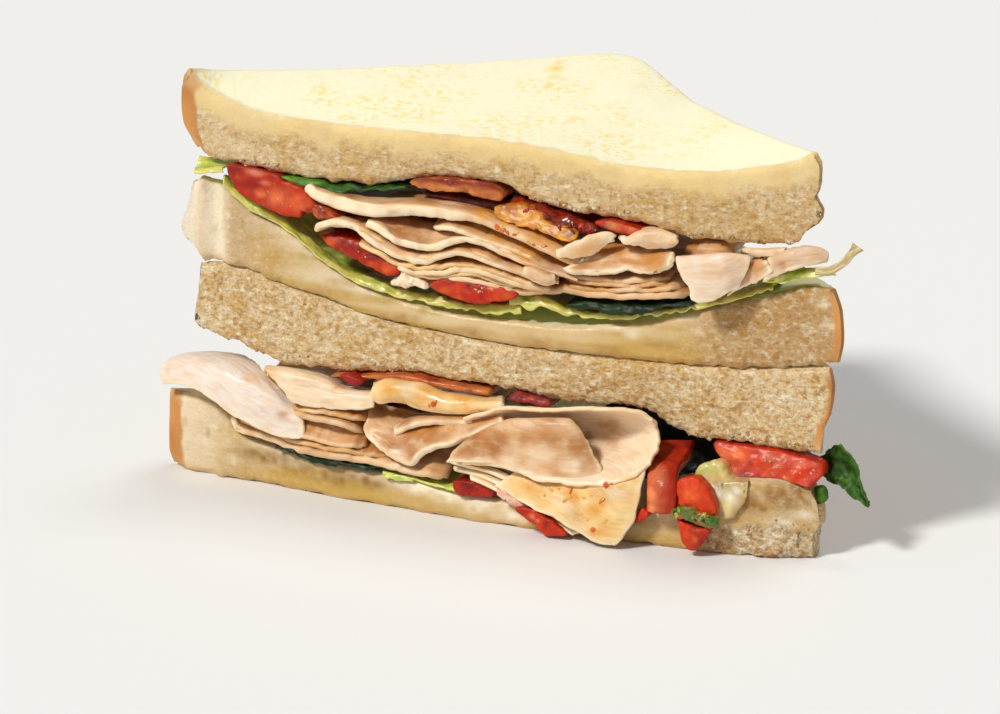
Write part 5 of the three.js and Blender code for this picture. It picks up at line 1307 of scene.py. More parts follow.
# In these paints the tan spots are painted shade, where lips, bacon and folds shade the meat.
fold_paints = {
    "turkey_upper_6": turkey_paint(0.25, golden_top, shade_spots="-16 73.8 4, -4 72.6 3", shade=0.25,
                                   rim_highlight=stack_rim_highlight, seed=3),
    "turkey_upper_5": turkey_paint(0.3, "10 61.6 3, 6 64 2.6", shade=0.2, shade_spots="-18 67.6 2.6",
                                   rim_highlight=stack_rim_highlight, seed=5),
    "turkey_upper_4": turkey_paint(0.15, "-42.5 64 2.6", shade=0.3, rim_highlight=stack_rim_highlight, seed=7),
    "turkey_lower_flap": turkey_paint(0.9, "27 4.6 3, 12 8, 30 0.6, 22 7", tone=MEAT_GOLD,
                                      blush="20 5.4 3.4, 33 9 3", stains_and_shade=[
        (daylight(226, 110, 44), 0.75, 1.2, "29.2 6.5 1.2, 30.6 10.8 1.4"),
        (daylight(226, 150, 40), 0.8, 1.3, "21 8.2 2, 27 -0.8 2.2, 17.4 9.6 1.4")], seed=61),
    # Inside the bowl the brown marks are painted shade: the shadow that the tongue and the rim cast on it.
    "turkey_lower_bowl": turkey_paint(1.15, rind=0.3, shade_spots="31 25.4 4, 20 25.4 3, 6 23.4, 31 21",
                                      blush="36 17 6, 8 15 4", stains_and_shade=[
                                          (MEAT_SHADE, 0.8, 0.8, "26 21.4 2.6, 28 18.4 2")], seed=62),
    "turkey_lower_drape": turkey_paint(1.3, "-61 25.4 2", shade_spots="-52 17.6 2", tone=MEAT_MILK, seed=63),
    "turkey_lower_4": turkey_paint(1.1, "-56.6 28.4 3.2, -38 26 2", shade_spots="-40 22.4 1.6", seed=65),
    "turkey_upper_flap": turkey_paint(1.0, tone=MEAT_ROSE, seed=64),
    "turkey_upper_right": turkey_paint(0.55, shade_spots="64 68 2.4, 72 68 2", tone=MEAT_ROSE, seed=66),
    # The fold's face is painted darker and tan overall: painted shade under its overhanging ridge.
    "turkey_upper_fold": turkey_paint(-0.3, shade_spots="31 66 3, 26 63", blush="36 66 2.4", stains_and_shade=[
        (daylight(222, 156, 80), 0.5, 1.6, "27 64 4, 34 64.4, 41 65.4 3.4")], seed=67),
    "turkey_upper_strip": turkey_paint(0.3, "25 66.4 3", blush="30 70 2", seed=71),
    "turkey_upper_lobe": turkey_paint(0.5, blush="44 70.6 2", seed=72),
    "turkey_upper_facet": turkey_paint(0.25, shade_spots="58 64 2.4", tone=MEAT_CREAM, seed=76),
    "turkey_lower_5": turkey_paint(0.9, "-24 27 2.4, -14 26.6 4, -6 26 3", tone=MEAT_GOLD,
                                   blush="-19 28 2.4", seed=73),
    "turkey_lower_tongue": turkey_paint(0.2, shade_spots="-2 18.6 3, 4 19.4 3.2, 10 20, 16 20.4 3",
                                        blush="6 14 3, 14 16 4, 22 15, 29 12.6 2.4", seed=68),
    "turkey_lower_vee": turkey_paint(0.1, "-16 19.4 2.6, -10 20.4 2.4", blush="-22 11.6 2.4", seed=69),
}
FOLD_GAP, THICKEST_HALF = 0.3, 1.4      # mm to the bread, and half of the thickest meat
torn_bits = ["turkey_upper_" + bit for bit in ("strip", "lobe", "facet", "tuft", "fold", "right", "curl")]
for number, (name, (thick, rails)) in enumerate(turkey_folds.items()):
    margin = FOLD_GAP + (THICKEST_HALF if isinstance(thick, str) else thick / 2)
    wild = 2.0 if name in torn_bits else 1.0
    grid = fold_grid(rails, step=0.55, torn=0.45 * wild, wave=0.35 * wild, seed=300 + 10 * number)
    grid = room_of(name).keep_clear(grid, margin)
    paint = fold_paints.get(name, turkey_paint(0.25, seed=70 + number))
    sheet_piece(name, grid, thick, paint, turkey_finish, "turkey",
                ruffle(0.2, 1.5, 330 + number, along=5.0))
print("turkey folds:", len(turkey_folds))

# %% [markdown]
# ### Leaves
# Lettuce shows as a pale green frill with yellow-white ribs, and spinach as a dark waxy leaf. A flat
# leaf would look cut from paper, so both are thin sheets with far more ruffle than the meat, and the
# veins are noise drawn out along the leaf.


# %% Leaf finishes
def leaf_material(name, **shader):
    """Waxy leaf: a soft sheen, and veins raised along and across the leaf."""
    f = Finish(name, **shader)
    tint = f.value("tint", colour=True)
    vein = f.noise(2.2, detail=3.0, stretch=(1.0, 2.5, 1.0), source=f.surface)
    tint = f.stain(f.between(vein, 0.42, 0.66, 0.0, 0.6), tint, (1.35, 1.25, 1.0))
    f.colour(tint)
    f.bump(vein, 0.5, 0.5)
    f.bump(f.noise(0.8, detail=2.0), 0.12, 0.3)
    return f.material


lettuce_finish = leaf_material("lettuce", roughness=0.36, subsurface_weight=0.25,
                               subsurface_scale=0.002, coat_weight=0.2, coat_roughness=0.2)
leaf_finish = leaf_material("spinach_leaf", roughness=0.5, subsurface_weight=0.05,
                            subsurface_scale=0.001, specular_ior_level=0.25, coat_weight=0.04,
                            coat_roughness=0.25)


def leaf_paint(pale, deep, rib, share=0.5, soaked=0.0, seed=0, marks=()):
    """Leaf colours: two greens in patches and in threads along the edge, a light rim and pale ribs running
    back. A leaf soaked with mayonnaise is milky yellow along its lower edge."""
    def paint(points, rim, u, v):
        patch = rough(points, 5.0, 2, seed)
        thread = rough(places(u / 4.5, v, 0), 0.9, 3, seed + 2)
        ribs = ease(noise(places(u / 2.4, v / 14, 0), 1.0, seed + 1), 0.35, 0.8)
        colour = blended(deep, pale, share + 0.5 * patch + 0.6 * thread)
        colour = blended(colour, rib, 0.5 * ribs)
        colour = blended(colour, pale, 0.7 * np.exp(-((rim / 0.35) ** 2)))
        milky = soaked * ease(v + 1.2 * patch, 2.6, 0.4)
        return painted(blended(colour, LETTUCE_MILKY, milky), points, marks), 0.0
    return paint


# %% Lettuce and spinach
LEAF = 0.5                       # thickness of a leaf in mm
MILKY_EDGE = 0.45                # how far mayonnaise tints the edge of the upper lettuce
lettuce_tone = (LETTUCE_LIGHT, LETTUCE_GREEN, LETTUCE_RIB)
spinach_tone = (LEAF_BRIGHT, LEAF_DARK, LEAF_DARK)
# Dark spinach darkened further as painted shade, for leaves deep between the layers.
shaded_spinach_tone = (daylight(26, 54, 16), LEAF_DARK, LEAF_DARK)
# Near-black leaf colour: painted shade, for sheets set where only a dark gap shows.
shadow_tone = (LEAF_DARK, LEAF_DARK * 0.3, LEAF_DARK * 0.3)
leaf_layers = {
    "lettuce_upper_left": (lettuce_tone, dict(hang=0.7, level=0.06, line="""
    -67 75.6 73.5, -63 73.6 69.4, -59 71.7 66, -53.3 68.3 62.8, -47.3 64.4 59.5, -42.2 60.8 56.6,
    -37.1 57 53.5, -31.9 55.3 51.7, -26.8 53.8 50.5, -21.7 53 50.1, -15.6 52.1 49.5, -9 51.6 49,
    -2 51 48.8, 5 51.6 49.2, 9 52.4 50""")),
    "lettuce_upper_right": (lettuce_tone, dict(hang=0.9, level=0.06, line="""
    6 54.8 51.6, 12 54.8 51.2, 16 54 50.8, 24.6 52.6 50.6, 31.2 52.2, 40.6 54.6 52.6, 51.7 56.7 55,
    61.8 59.9 58.2, 70 63 61.2""")),
    "leaf_upper_middle": (shaded_spinach_tone, dict(hang=2.8, level=0.2, deep=0.5, line="""
    20 53.6 52.6, 23.6 55 52.2, 29.3 55.2 51.9, 35 55.3 51.8, 40.6 55.7 53, 46 56.4 54.6, 50.5 57 56""")),
    "lettuce_upper_tip": (lettuce_tone, dict(hang=1.5, level=0.75, line="""
    -74.6 76.8 75.6, -72 77.6 75.2, -69.5 77.8 75.4, -67 77.4""")),
    "leaf_upper_top": (spinach_tone, dict(hang=1.0, level=0.95, deep=0.4, line="""
    -52 77.4 75.9, -47 77.6 75.2, -42 77.2 74.6, -38.6 77 73.4, -34 77.2 74.6, -28 77 75.2,
    -20 77.2 76""")),
    "leaf_lower": (shaded_spinach_tone, dict(hang=1.8, level=0.12, line="""
    -54.3 10.3 9.5, -49.9 9.8 8.3, -43.7 8.9 7.2, -38.5 8.8 7, -33.3, -28 8.8 7.4, -25.5 8.8 8""")),
    "lettuce_lower": (lettuce_tone, dict(hang=1.4, level=0.12, deep=0.6, line="""
    -26.3 7.5 6.3, -21.2 6.7 5.1, -15.2 6.4 4.7, -9.2 6 4.5, -6.6 5.8 4.9""")),
}
leaf_marks = {"leaf_upper_top": [(daylight(120, 168, 52), 0.9, 2.0, "-49 76.8 2.2, -43.5 75.8 1.8")]}
leaf_folds = {
    "lettuce_shred_bed": (lettuce_tone, LEAF, """
    67 63.2 2, 72 63.6 2.2, 78 65 2, 85 66.4 1.4 /
    67 65 0, 72 65.8 0.4, 78 67.2 0, 84.5 67.8 -0.4 /
    66 64.4 -9, 71 65.4 -8, 76 66.4 -7, 82 67 -5"""),
    # A leaf deep in the lower half, painted near black as the shade in the gap under the bread.
    "leaf_lower_inside": (shadow_tone, LEAF, """
    30 12 -8, 38 12.4 -9, 46 13 -10, 54 15.6, 60 19.6 -9 /
    30 22 -9, 38 22 -10, 46 22 -12, 54, 60 23 -11 /
    30 31 -8, 38 31 -10, 46 30.6 -12, 54 29.6, 60 29 -11"""),
    # A leaf deep in the gap beneath the turkey stack in the upper half, painted near black as the shade
    # there.
    "leaf_upper_inside": (shadow_tone, LEAF, """
    -22 53.6 -1, -18 53 -1.4, -14 53 -1.6, -10 53.2 -1 /
    -22 56 -1.6, -18 55.4 -2, -14, -10 55.6 -1.6 /
    -21 58 -2, -17 57.4 -2.4, -13 57.6, -9 58 -2"""),
    "leaf_right": (spinach_tone, LEAF, """
    81.6 19.6 -4.4, 84 18.4 -2.4, 87.4 16 -0.8, 91 13.8 0.2, 94 12.7 0.6 /
    83.2 21.2 -6, 85 22 -4.6, 89 20 -2.6, 92 16.4 -0.8, 94.2 13 0.6 /
    82.2 23 -6.8, 85.4 27.4 -4.4, 89 24.6 -2, 92.2 18.6 -0.4, 94.6 13.4 0.6"""),
    "leaf_curl": (spinach_tone, LEAF, """
    80.8 17.1 -0.6, 81.1 15.3 -0.2, 81.4 13.6 0, 81.8 12 0.2 /
    81.8 17 0.4, 82.3 15.6 1.2, 82.9 13.9 1.4, 83.3 12.3 1.2 /
    82.5 16.7 -0.6, 83.4 16 0.2, 84.7 15 0.4, 84.7 13.2 0.6"""),
}
for number, (name, (tone, shape)) in enumerate(leaf_layers.items()):
    grid = layer_grid(room_of(name), thickness=LEAF, ripple=0.45, torn=0.6, seed=500 + 10 * number, **shape)
    finish, slot = (leaf_finish, "green_leaf") if "leaf" in name else (lettuce_finish, "lettuce")
    soaked = MILKY_EDGE if "upper" in name and tone is lettuce_tone else 0.0
    sheet_piece(name, grid, LEAF, leaf_paint(*tone, 0.45, soaked, 520 + number, leaf_marks.get(name, ())),
                finish, slot, relief=ruffle(0.4, 1.5, number, along=2.5))
for number, (name, (tone, thick, rails)) in enumerate(leaf_folds.items()):
    grid = fold_grid(rails, step=0.4, torn=0.9, seed=600 + 10 * number)
    finish, slot = (leaf_finish, "green_leaf") if "leaf" in name else (lettuce_finish, "lettuce")
    sheet_piece(name, grid, thick, leaf_paint(*tone, seed=620 + number), finish, slot,
                ruffle(0.8 if name == "leaf_right" else 0.45, 1.8, 40 + number))
print("leaves:", len(leaf_layers) + len(leaf_folds))


# %% [markdown]
# ### The curled shred
# One dry pale strip sticks out at the right tip and curls up. A curve with a round bevel would make a
# string of it. A narrow fold between two rails stays flat and can twist.

# %% The curled shred
def shred_material():
    """A dry pale strip with ridges along it."""
    f = Finish("dry_shred", roughness=0.6, subsurface_weight=0.1, subsurface_scale=0.001)
    tint = f.value("tint", colour=True)
    ridge = f.noise(0.7, detail=2.0, stretch=(8.0, 1.0, 1.0), source=f.surface)
    f.colour(f.stain(f.between(ridge, 0.6, 0.4), tint, (0.72, 0.62, 0.46)))
    f.bump(ridge, 0.3, 0.6)
    return f.material


shred_rails = """
    79.4 66 3.9, 83.4 66.6 3.5, 86.4 68.6 3.2, 88.6 71.4 3.4, 90.8 73 3.2 /
    79.4 68 3.8, 83 68.6 3.3, 85.4 70.4 2.8, 87.4 73 3, 88 74.6 2.8"""
shred_grid = fold_grid(shred_rails, step=0.3, torn=0.2, seed=700)
print("shred in mm:", np.round(lengths_along(shred_grid, 1)[:, -1].mean(), 1))
sheet_piece("shred", shred_grid, 0.9,
            leaf_paint(SHRED_PALE, SHRED_BROWN, SHRED_PALE, 0.8, seed=701), shred_material(), "shred",
            relief=ruffle(0.2, 1.6, 702))

# %% [markdown]
# ### Tomato, bacon and relish
# Strips seen end on, such as bacon, are lumps: a loop round each, in depth and height, is a square with
# soft corners, and the loops shrink towards both ends. Tomato is cut flat, so it gets chunks instead.
# An outline on the cut is filled with rings, and its border turns back into the food.


# %% Lumps
LOOP_POINTS = 64                 # points round a lump
TOUCH = 0.15                     # how near to the bread wet bits lie, in mm


def lump_piece(name, outline, out, depth, finish, slot, paint, room, lean=0.0, step=0.45, lumpy=0.25,
               corner=0.55, seed=0):
    """A closed lump, `out` mm before the cut face. Its outline is rows of x, and height of its top and
    bottom there."""
    outline = rows(outline)
    top, bottom = curve(outline, 1), curve(outline, 2)
    start, end = outline[0][0], outline[-1][0]
    share = paces(end - start, step)
    x = mix(start, end, share)[:, None]
    from_end = np.minimum(x - start, end - x)
    closing = np.sqrt(np.clip(1 - (1 - np.minimum(from_end / 1.1, 1)) ** 2, 0, 1))
    angle = np.linspace(0, 2 * np.pi, LOOP_POINTS, endpoint=False)[None, :]
    squared = lambda s: np.sign(s) * np.abs(s) ** corner
    ahead, up = squared(np.cos(angle)), squared(np.sin(angle))
    half = (top(x) - bottom(x)) / 2 * closing
    z = (top(x) + bottom(x)) / 2 + half * up
    front = out + lean * (0.5 - 0.5 * up) - 0.9 * (1 - closing)
    points = spilled(x + 0 * angle, z, front)
    run = np.minimum(depth, np.maximum(room.reach(points[..., 0]) + out, 5))
    points[..., 1] += (1 - ahead) / 2 * run * closing
    relief = lumpy * closing * rough(points, 2.6, 3, seed)
    points = points + outward(points, wrap=True) * relief[..., None]
    points = room.keep_clear(points, TOUCH)
    ends = points[0].mean(axis=0), points[-1].mean(axis=0)
    return ringed_piece(name, points[1:-1], ends, (up + 0 * x)[1:-1], (ahead + 0 * x)[1:-1],
                        paint, finish, slot)


def ringed_piece(name, body, ends, rise, forward, paint, finish, slot):
    """Closes a grid of rings with a point at each end and paints it."""
    ids = np.arange(rise.size).reshape(rise.shape)
    faces = list(quads(ids, wrap=True))
    for row, centre, order in ((0, ids.size, 1), (-1, ids.size + 1, -1)):
        ring = np.stack([ids[row], np.roll(ids[row], -1)], axis=-1)[:, ::order]
        faces += [np.array([centre, b, a]) for a, b in ring]
    everything = np.concatenate([body.reshape(-1, 3), ends])
    rise = np.concatenate([rise.ravel(), [0.0, 0.0]])
    forward = np.concatenate([forward.ravel(), [1.0, 0.0]])
    values = {"tint": paint(everything, rise, forward)}
    uv = np.stack([everything[:, 0], everything[:, 2]], axis=-1)
    return make_piece(name, everything, faces, values, finish, slot, uv)


# %% Chunks
def closed_spline(corners, count):
    """Catmull-Rom round a closed outline, as `count` places."""
    p = np.array(rows(corners))
    place = np.arange(count) * len(p) / count
    i = place.astype(int)
    f = (place - i)[:, None]
    return spline_step(*(p[(i + k) % len(p)] for k in (-1, 0, 1, 2)), f)


OUTLINE_POINTS = 132             # points round a chunk
CHUNK_RINGS = (17, 6, 9)         # rings on its front, round its edge and along its side


def chunk_piece(name, outline, out, depth, finish, slot, paint, room=None, lean=0.0, bulge=0.4,
                radius=0.6, lumpy=0.22, ragged=0.2, seed=0):
    """A closed chunk behind an outline of x and z on the cut. Rings grow from its middle to its border,
    turn back along a quarter circle of `radius` and run `depth` mm into the food. `lean` is how many mm
    the front comes forward for each mm down."""
    border = closed_spline(outline, OUTLINE_POINTS)
    area = np.sum(border[:, 0] * np.roll(border[:, 1], -1) - np.roll(border[:, 0], -1) * border[:, 1])
    border = border[::-1] if area > 0 else border
    middle = border.mean(axis=0)
    ray = border - middle
    reach = np.linalg.norm(ray, axis=1, keepdims=True)
    place = places(border[:, 0], 0, border[:, 1])
    ray = ray * (1 + ragged * rough(place, 1.6, 2, seed)[:, None] / reach)
    grow, turn, side = (np.linspace(0, 1, n)[1:, None] for n in CHUNK_RINGS)
    corner = np.minimum(radius / reach.T, 0.4)
    bend = turn * np.pi / 2
    share = np.concatenate([mix(0.05, 1, grow) * (1 - corner), 1 - corner * (1 - np.sin(bend)),
                            1 - 0.1 * side + 0 * corner, 0.5 + 0 * corner])
    back = np.concatenate([0 * grow + 0 * corner, radius * (1 - np.cos(bend)) + 0 * corner,
                           mix(radius, depth, side) + 0 * corner, depth + 0 * corner])
    x = middle[0] + ray[:, 0] * share
    z = middle[1] + ray[:, 1] * share
    points = spilled(x, z, out + lean * (middle[1] - z) + bulge * (1 - share**2))
    points[..., 1] += back
    facing = np.concatenate([1 + 0 * grow, 1 - turn, 0 * side, [[0.0]]]) + 0 * corner
    points = points + outward(points, wrap=True) * (lumpy * rough(points, 2.4, 3, seed + 5))[..., None]
    if room is not None:
        points[..., 1] = np.minimum(points[..., 1], np.maximum(room.reach(points[..., 0]), 1.5 - out))
        points = room.keep_clear(points, TOUCH)
    ends = points[0].mean(axis=0), points[-1].mean(axis=0)
    return ringed_piece(name, points, ends, share + 0 * facing, facing, paint, finish, slot)


# %% [markdown]
# ### Tomato
# Cut tomato is wet flesh, deep red at the skin, with paler walls between the seeds. The wet look is a
# clear coat, the grain is noise in the finish, and the few walls and skin lines are marks, since each
# chunk shows another part of the fruit.

# %% Tomato finish and colours
def wet_material(name, glint=0.06, scatter=0.15, reach=0.002, pale=TOMATO_PALE, grain=1.6):
    """Wet flesh: a clear coat over soft flesh, with a paler and a deeper grain and small bumps."""
    f = Finish(name, roughness=0.48, subsurface_weight=scatter, subsurface_scale=reach,
               coat_weight=glint, coat_roughness=0.14, specular_ior_level=0.28,
               subsurface_radius=(1.0, 0.25, 0.1))
    tint = f.value("tint", colour=True)
    vein = f.noise(grain, detail=4.0)
    tint = f.blend(f.between(vein, 0.54, 0.72, 0.0, 0.18), tint, pale)
    f.colour(f.stain(f.between(vein, 0.47, 0.34, 0.0, 0.45), tint, (0.74, 0.42, 0.3)))
    f.bump(vein, 0.35, 0.4)
    f.bump(f.noise(0.7, detail=3.0), 0.25, 0.35)
    return f.material


tomato_finish = wet_material("cut_tomato")
amber_finish = wet_material("amber_sauce", glint=0.08, scatter=0.2, pale=daylight(240, 186, 60), grain=2.6)
relish_finish = wet_material("tomato_relish", glint=0.6, scatter=0.08, pale=RELISH_GOLD, grain=1.1)


def tomato_paint(flesh=0.6, marks=(), skin=0.7, seed=0):
    """Flesh on the cut in patches, deeper behind it as painted shade and at the skin, with listed marks."""
    def paint(points, rise, forward):
        patch = rough(points, 3.4, 3, seed)
        colour = blended(TOMATO_DEEP, TOMATO_FLESH, flesh + 0.45 * patch)
        colour = painted(colour, points, marks)
        colour = blended(colour, TOMATO_DEEP, skin * ease(np.abs(rise), 0.86, 1.0) * ease(patch, -0.6, 0.4))
        # Painted shade: the flesh darkens where it runs back behind the cut into the food.
        return blended(colour, TOMATO_DEEP * 0.6, 0.6 * ease(points[:, 1], 0, 8))
    return paint


SKIN_DARK = daylight(112, 16, 10)
FLESH_PALE = daylight(236, 122, 68)
FLESH_PINK = daylight(238, 158, 120)
FLESH_ORANGE = daylight(226, 100, 34)
FLESH_RED = daylight(204, 34, 12)
tomatoes = {
    "tomato_upper_left": (0.45, dict(out=2.6, depth=14, lean=0.1, bulge=0.2), [
        (SKIN_DARK, 0.8, 1.5, "-64.6 76.6 2.6, -62 73.6 2.2"),
        (FLESH_PINK, 0.75, 2.4, "-58.4 77 1.6, -56 74.6 1"),
        (FLESH_PALE, 0.9, 1.5, "-52 71.4 4, -47 70.6 3.2, -57 72 1.8"),
        (SKIN_DARK, 0.6, 1.3, "-54 76.4 1.4, -45 69")], """
    -66.2 77.9, -62.8 78, -58.7 77.6, -54.7 77.2, -52.6 76.8, -51.4 75.6, -48.4 74.9, -45.8 74,
    -44.4 72.4, -42.8 70.8, -42.2 68.9, -44.4 68.2, -46.1 68.6, -47.3 67.1, -50.8 66.9, -54.6 68,
    -58.9 69.6, -62.7 71.6, -65 74.2"""),
    "tomato_upper_middle": (0.3, dict(out=2.6, depth=20, lean=0.2), [
        (FLESH_ORANGE, 0.8, 1.3, "-39.4 62 2.2, -25 56.8 1.8, -29 57.6 1.2"),
        (SKIN_DARK, 0.85, 2.0, "-33 61.4 2.2, -28 59.4 1.6, -36 62.6 1.4")], """
    -41.8 63.5, -36.6, -33.2 63.2, -30.2 62.3, -27.7 61, -25.1 59.6, -22.6 58.3, -21.2 57, -22.2 55.9,
    -24.3 55, -26 55.5, -28.1 56.5, -30.2 57.1, -33.2 58.2, -35.3 59, -38.7 60.4, -40.9 61.9"""),
    "tomato_upper_right": (0.5, dict(out=3.0, depth=14, lean=0.2), [
        (SKIN_DARK, 0.85, 1.6, "-9 55.6 1.6, -4 55, -1 54.8 1.4"),
        (FLESH_RED, 0.9, 1.3, "-3.4 52.4 2, 0 53.4 1.6"),
        (FLESH_ORANGE, 0.8, 2.0, "-10.6 53.2 1.6, -7 51.6 1.2, 5 53.6 1.6"),
        (FLESH_PINK, 0.7, 0.8, "1.6 54.8 1.2")], """
    -14 54, -12.5 55.4, -9.1 56.2, -5.8 56.3, -2.5 55.7, 1.3 55.6, 4.6 55.5, 8.1 54.7, 7.5 53.4,
    5 52.1, 2.1 51.6, 0 50.8, -2.5 50.7, -5.8 51, -9.2 51.8, -12.5 52.9"""),
    "tomato_upper_bit": (0.7, dict(out=1.6, depth=12), [
        (daylight(214, 138, 92), 0.9, 2.0, "31 72.8 2, 36 72 1.6"),
        (SKIN_DARK, 0.7, 1.4, "34 71.4 0.8, 29 73.2 0.7")], """
    27 73, 30 73.8, 33 73.6, 36 73, 39.6 72.2, 38 71.2, 34 71, 30 71.6"""),
    "tomato_lower_left": (0.15, dict(out=8.8, depth=12), [
        (SKIN_DARK, 0.8, 1.5, "-4.6 6.6 1.8"), (FLESH_RED, 0.6, 1.5, "-3 4.6 1.2")], """
    -8.2 6.9, -4.6 7.6, -0.5 7.3, 2 6.2, 1.4 4.5, -1.4 3.8, -6 3.6, -8 4.8"""),
    "tomato_lower_front": (0.75, dict(out=12.6, depth=4, room=None), [
        (SKIN_DARK, 0.5, 1.3, "15.4 0.2 1.2, 9 1.4 0.8"), (FLESH_PINK, 0.8, 1.2, "11.6 1 1.1, 13 0.2 0.8"),
        (FLESH_RED, 0.7, 1.2, "17.6 -2 1.4")], """
    7.2 2.3, 10 2.8, 12.6 2.5, 14.6 1.5, 16.7 0.3, 19.9 -2.1, 18.4 -3.1, 16.6 -3.6, 15 -3.5, 13.4 -2.3,
    11.6 -0.8, 9 0.5"""),
    "tomato_lower_slice": (0.8, dict(out=2.4, depth=30, lean=0.42, bulge=0.3), [
        (daylight(244, 122, 56), 0.95, 1.2, "58.6 21 3.4, 60 18, 62 21.6 3"),
        (SKIN_DARK, 0.8, 1.0, "63.8 17.4 1.6, 67 23, 65 20 1.2"),
        (FLESH_PINK, 0.6, 1.5, "69.6 22.2 1.5, 76.8 21.4 1.6, 72 20.4 1.1"),
        (FLESH_ORANGE, 0.7, 1.2, "69.6 19 2.2, 73.6 17.6 1.8"),
        (FLESH_RED, 0.8, 1.2, "79.4 19.4 2.4, 75.6 18 1.6")], """
    56.4 23.9, 61.9 24.2, 69 24.1, 76.2 23.4, 81.2 22.2, 82.6 20, 80.9 17.4, 78 15.6, 73.2, 68 15.9,
    63 15.2, 59 15, 58.2 19.4"""),
    "tomato_lower_wedge": (1.1, dict(out=12, depth=3.4, bulge=0.8, room=None), [
        (daylight(240, 104, 44), 0.9, 1.0, "50.4 11.4 3.2"), (FLESH_RED, 0.6, 1.0, "53.8 8.6 2")], """
    46.9 13.6, 49.4 15.2, 52.3, 55 12, 56.5 7.7, 54 6, 50.3 7.4, 47.4 8.2"""),
    "tomato_lower_tip": (0.6, dict(out=12.4, depth=4, bulge=0.9, room=None), [
        (FLESH_RED, 0.8, 0.8, "48.6 3 1.6, 53.6 2.4 1.4"), (FLESH_PALE, 0.6, 0.8, "51.4 0.4 1.6")], """
    47 4.9, 49.1 4.4, 52.2 3.7, 55 3.4, 54.1 1, 52.3 -1.5, 50.1 -2.4, 48.5 -0.8, 47.6 2.2"""),
    "tomato_lower_chip": (0.5, dict(out=12, depth=3, room=None), [
        (FLESH_RED, 0.8, 1.0, "38.6 4.8 2")],
        "38.6 6.4, 40.3 5.6, 39.4 3.8, 37.4 2.6, 37 4.4"),
    "tomato_lower_bit": (0.1, dict(out=3.4, depth=4), [
        (daylight(168, 24, 34), 0.8, 1.2, "-34.4 28.6 1.8")], """
    -37.2 29.4, -35 29.9, -32.6 29.4, -31.2 28.4, -33 27.4, -36 27.8"""),
}
for number, (name, (flesh, shape, marks, outline)) in enumerate(tomatoes.items()):
    paint = tomato_paint(flesh, marks, 0.3 if name == "tomato_lower_wedge" else 0.7, number + 1)
    chunk_piece(name, outline, finish=tomato_finish, slot="tomato", paint=paint, seed=800 + 10 * number,
                **{"room": room_of(name), **shape})

stick_rails = """
    47.3 6.2 10.8, 47.6 12 10, 47.9 15.7 6, 51.3 20.7 -2, 52.2 23.4 -5 /
    43.7 5.6 11.8, 43.9 11.6 11, 44.2 15.3 7.6, 46.2 19.5 0, 47.4 22.8 -4 /
    40.3 5.6 11, 40.3 11.1 10.4, 40.5 14.8 7, 41.5 18.3 0, 42.8 21.8 -4"""
stick_grid = fold_grid(stick_rails, step=0.5, torn=0.2, seed=840)
stick_paint = tomato_paint(0.35, [
    (daylight(246, 146, 92), 0.95, 0.9, "42.6 14 3.4, 42.4 10 3.6, 42.4 7 3"),
    (FLESH_ORANGE, 0.7, 1.2, "44.6 19.4 2.4"), (SKIN_DARK, 0.6, 1.0, "50 22 2.4, 46.8 10 0.8")],
    seed=841)


def stick_skin(points, rim, u, v):
    """The same flesh on a stick, all of it seen from the front."""
    flat = points.reshape(-1, 3)
    return stick_paint(flat, 0 * flat[:, 0], 0 * flat[:, 0]).reshape(points.shape), 0.0


sheet_piece("tomato_lower_stick", stick_grid, 3.6, stick_skin, tomato_finish, "tomato")
print("tomato pieces:", len(tomatoes) + 1)


# %% [markdown]
# ### Bacon, relish and scraps
# Bacon is red lean and golden fat in streaks along the strip, so its noise is drawn out along x.
# Relish, a rag of meat, chopped herb and the pale rib of a lettuce leaf are the same two shapes, lump
# and chunk, with other colours, so one table holds them all.

# %% Bacon, relish and scraps
bacon_finish = wet_material("fried_bacon", glint=0.35, scatter=0.06, pale=BACON_FAT, grain=1.3)


def bacon_paint(marks=(), seed=0):
    """Red lean and golden fat in streaks along the strip, with a light rim of fat below."""
    def paint(points, rise, forward):
        streak = rough(points * np.array([0.25, 1, 1.4]), 2.0, 2, seed)
        colour = blended(BACON_RED, BACON_FAT, 0.35 + 0.6 * streak)
        colour = painted(colour, points, marks)
        fat_rim = ease(-rise, 0.4, 0.9) * ease(streak, -0.2, 0.5)
        return blended(colour, daylight(232, 160, 96), 0.6 * fat_rim)
    return paint


def marked_paint(a, b, share, bright, size, octaves, seed, marks):
    """Two colours in patches, with marks on them."""
    def paint(points, rise, forward):
        patch = rough(points, size, octaves, seed)
        return painted(blended(a, b, share + bright * patch), points, marks)
    return paint


def plain_paint(a, b, share, size, seed):
    """Two colours in patches."""
    return marked_paint(a, b, share, 0.7, size, 3, seed, ())


BACON_GOLD = daylight(222, 140, 66)
RELISH_DARK = daylight(96, 22, 10)
MEAT_RAG = daylight(240, 206, 178)
RIB_GREEN = daylight(176, 190, 84)
amber_paint = marked_paint(daylight(172, 84, 8), daylight(224, 156, 26), 0.6, 0.7, 2.6, 2, 905, [
    (daylight(246, 200, 78), 0.6, 1.8, "9 73.4 1.4, 14 71.6 1.5, 5 73 1.1"),
    (RELISH_DARK, 0.8, 1.5, "5 75.4 1.6, 11 75.2 1.2, 20.4 69.8 1.8, 17.4 72.2 1.2")])
rib_paint = marked_paint(daylight(226, 204, 150), DAMP_TAN, 0.3, 0.4, 3, 2, 9, [
    (RIB_GREEN, 0.9, 1.2, "52.6 16.3 3.2, 55 17.8 3, 57.5 18.1 2"),
    (daylight(250, 243, 222), 0.95, 1.2, "57 12 2.2, 60 11.5 2.8, 61.5 13.2 1.8, 55.1 13.3 1.6"),
    (DAMP_TAN, 0.75, 1.0, "63.6 11 2.4, 61.3 7.1 2.8, 58.3 5.5 2.4")])
wet_finishes = {"bacon": bacon_finish, "relish": relish_finish, "turkey": relish_finish,
                "herb": lettuce_finish, "lettuce": lettuce_finish}
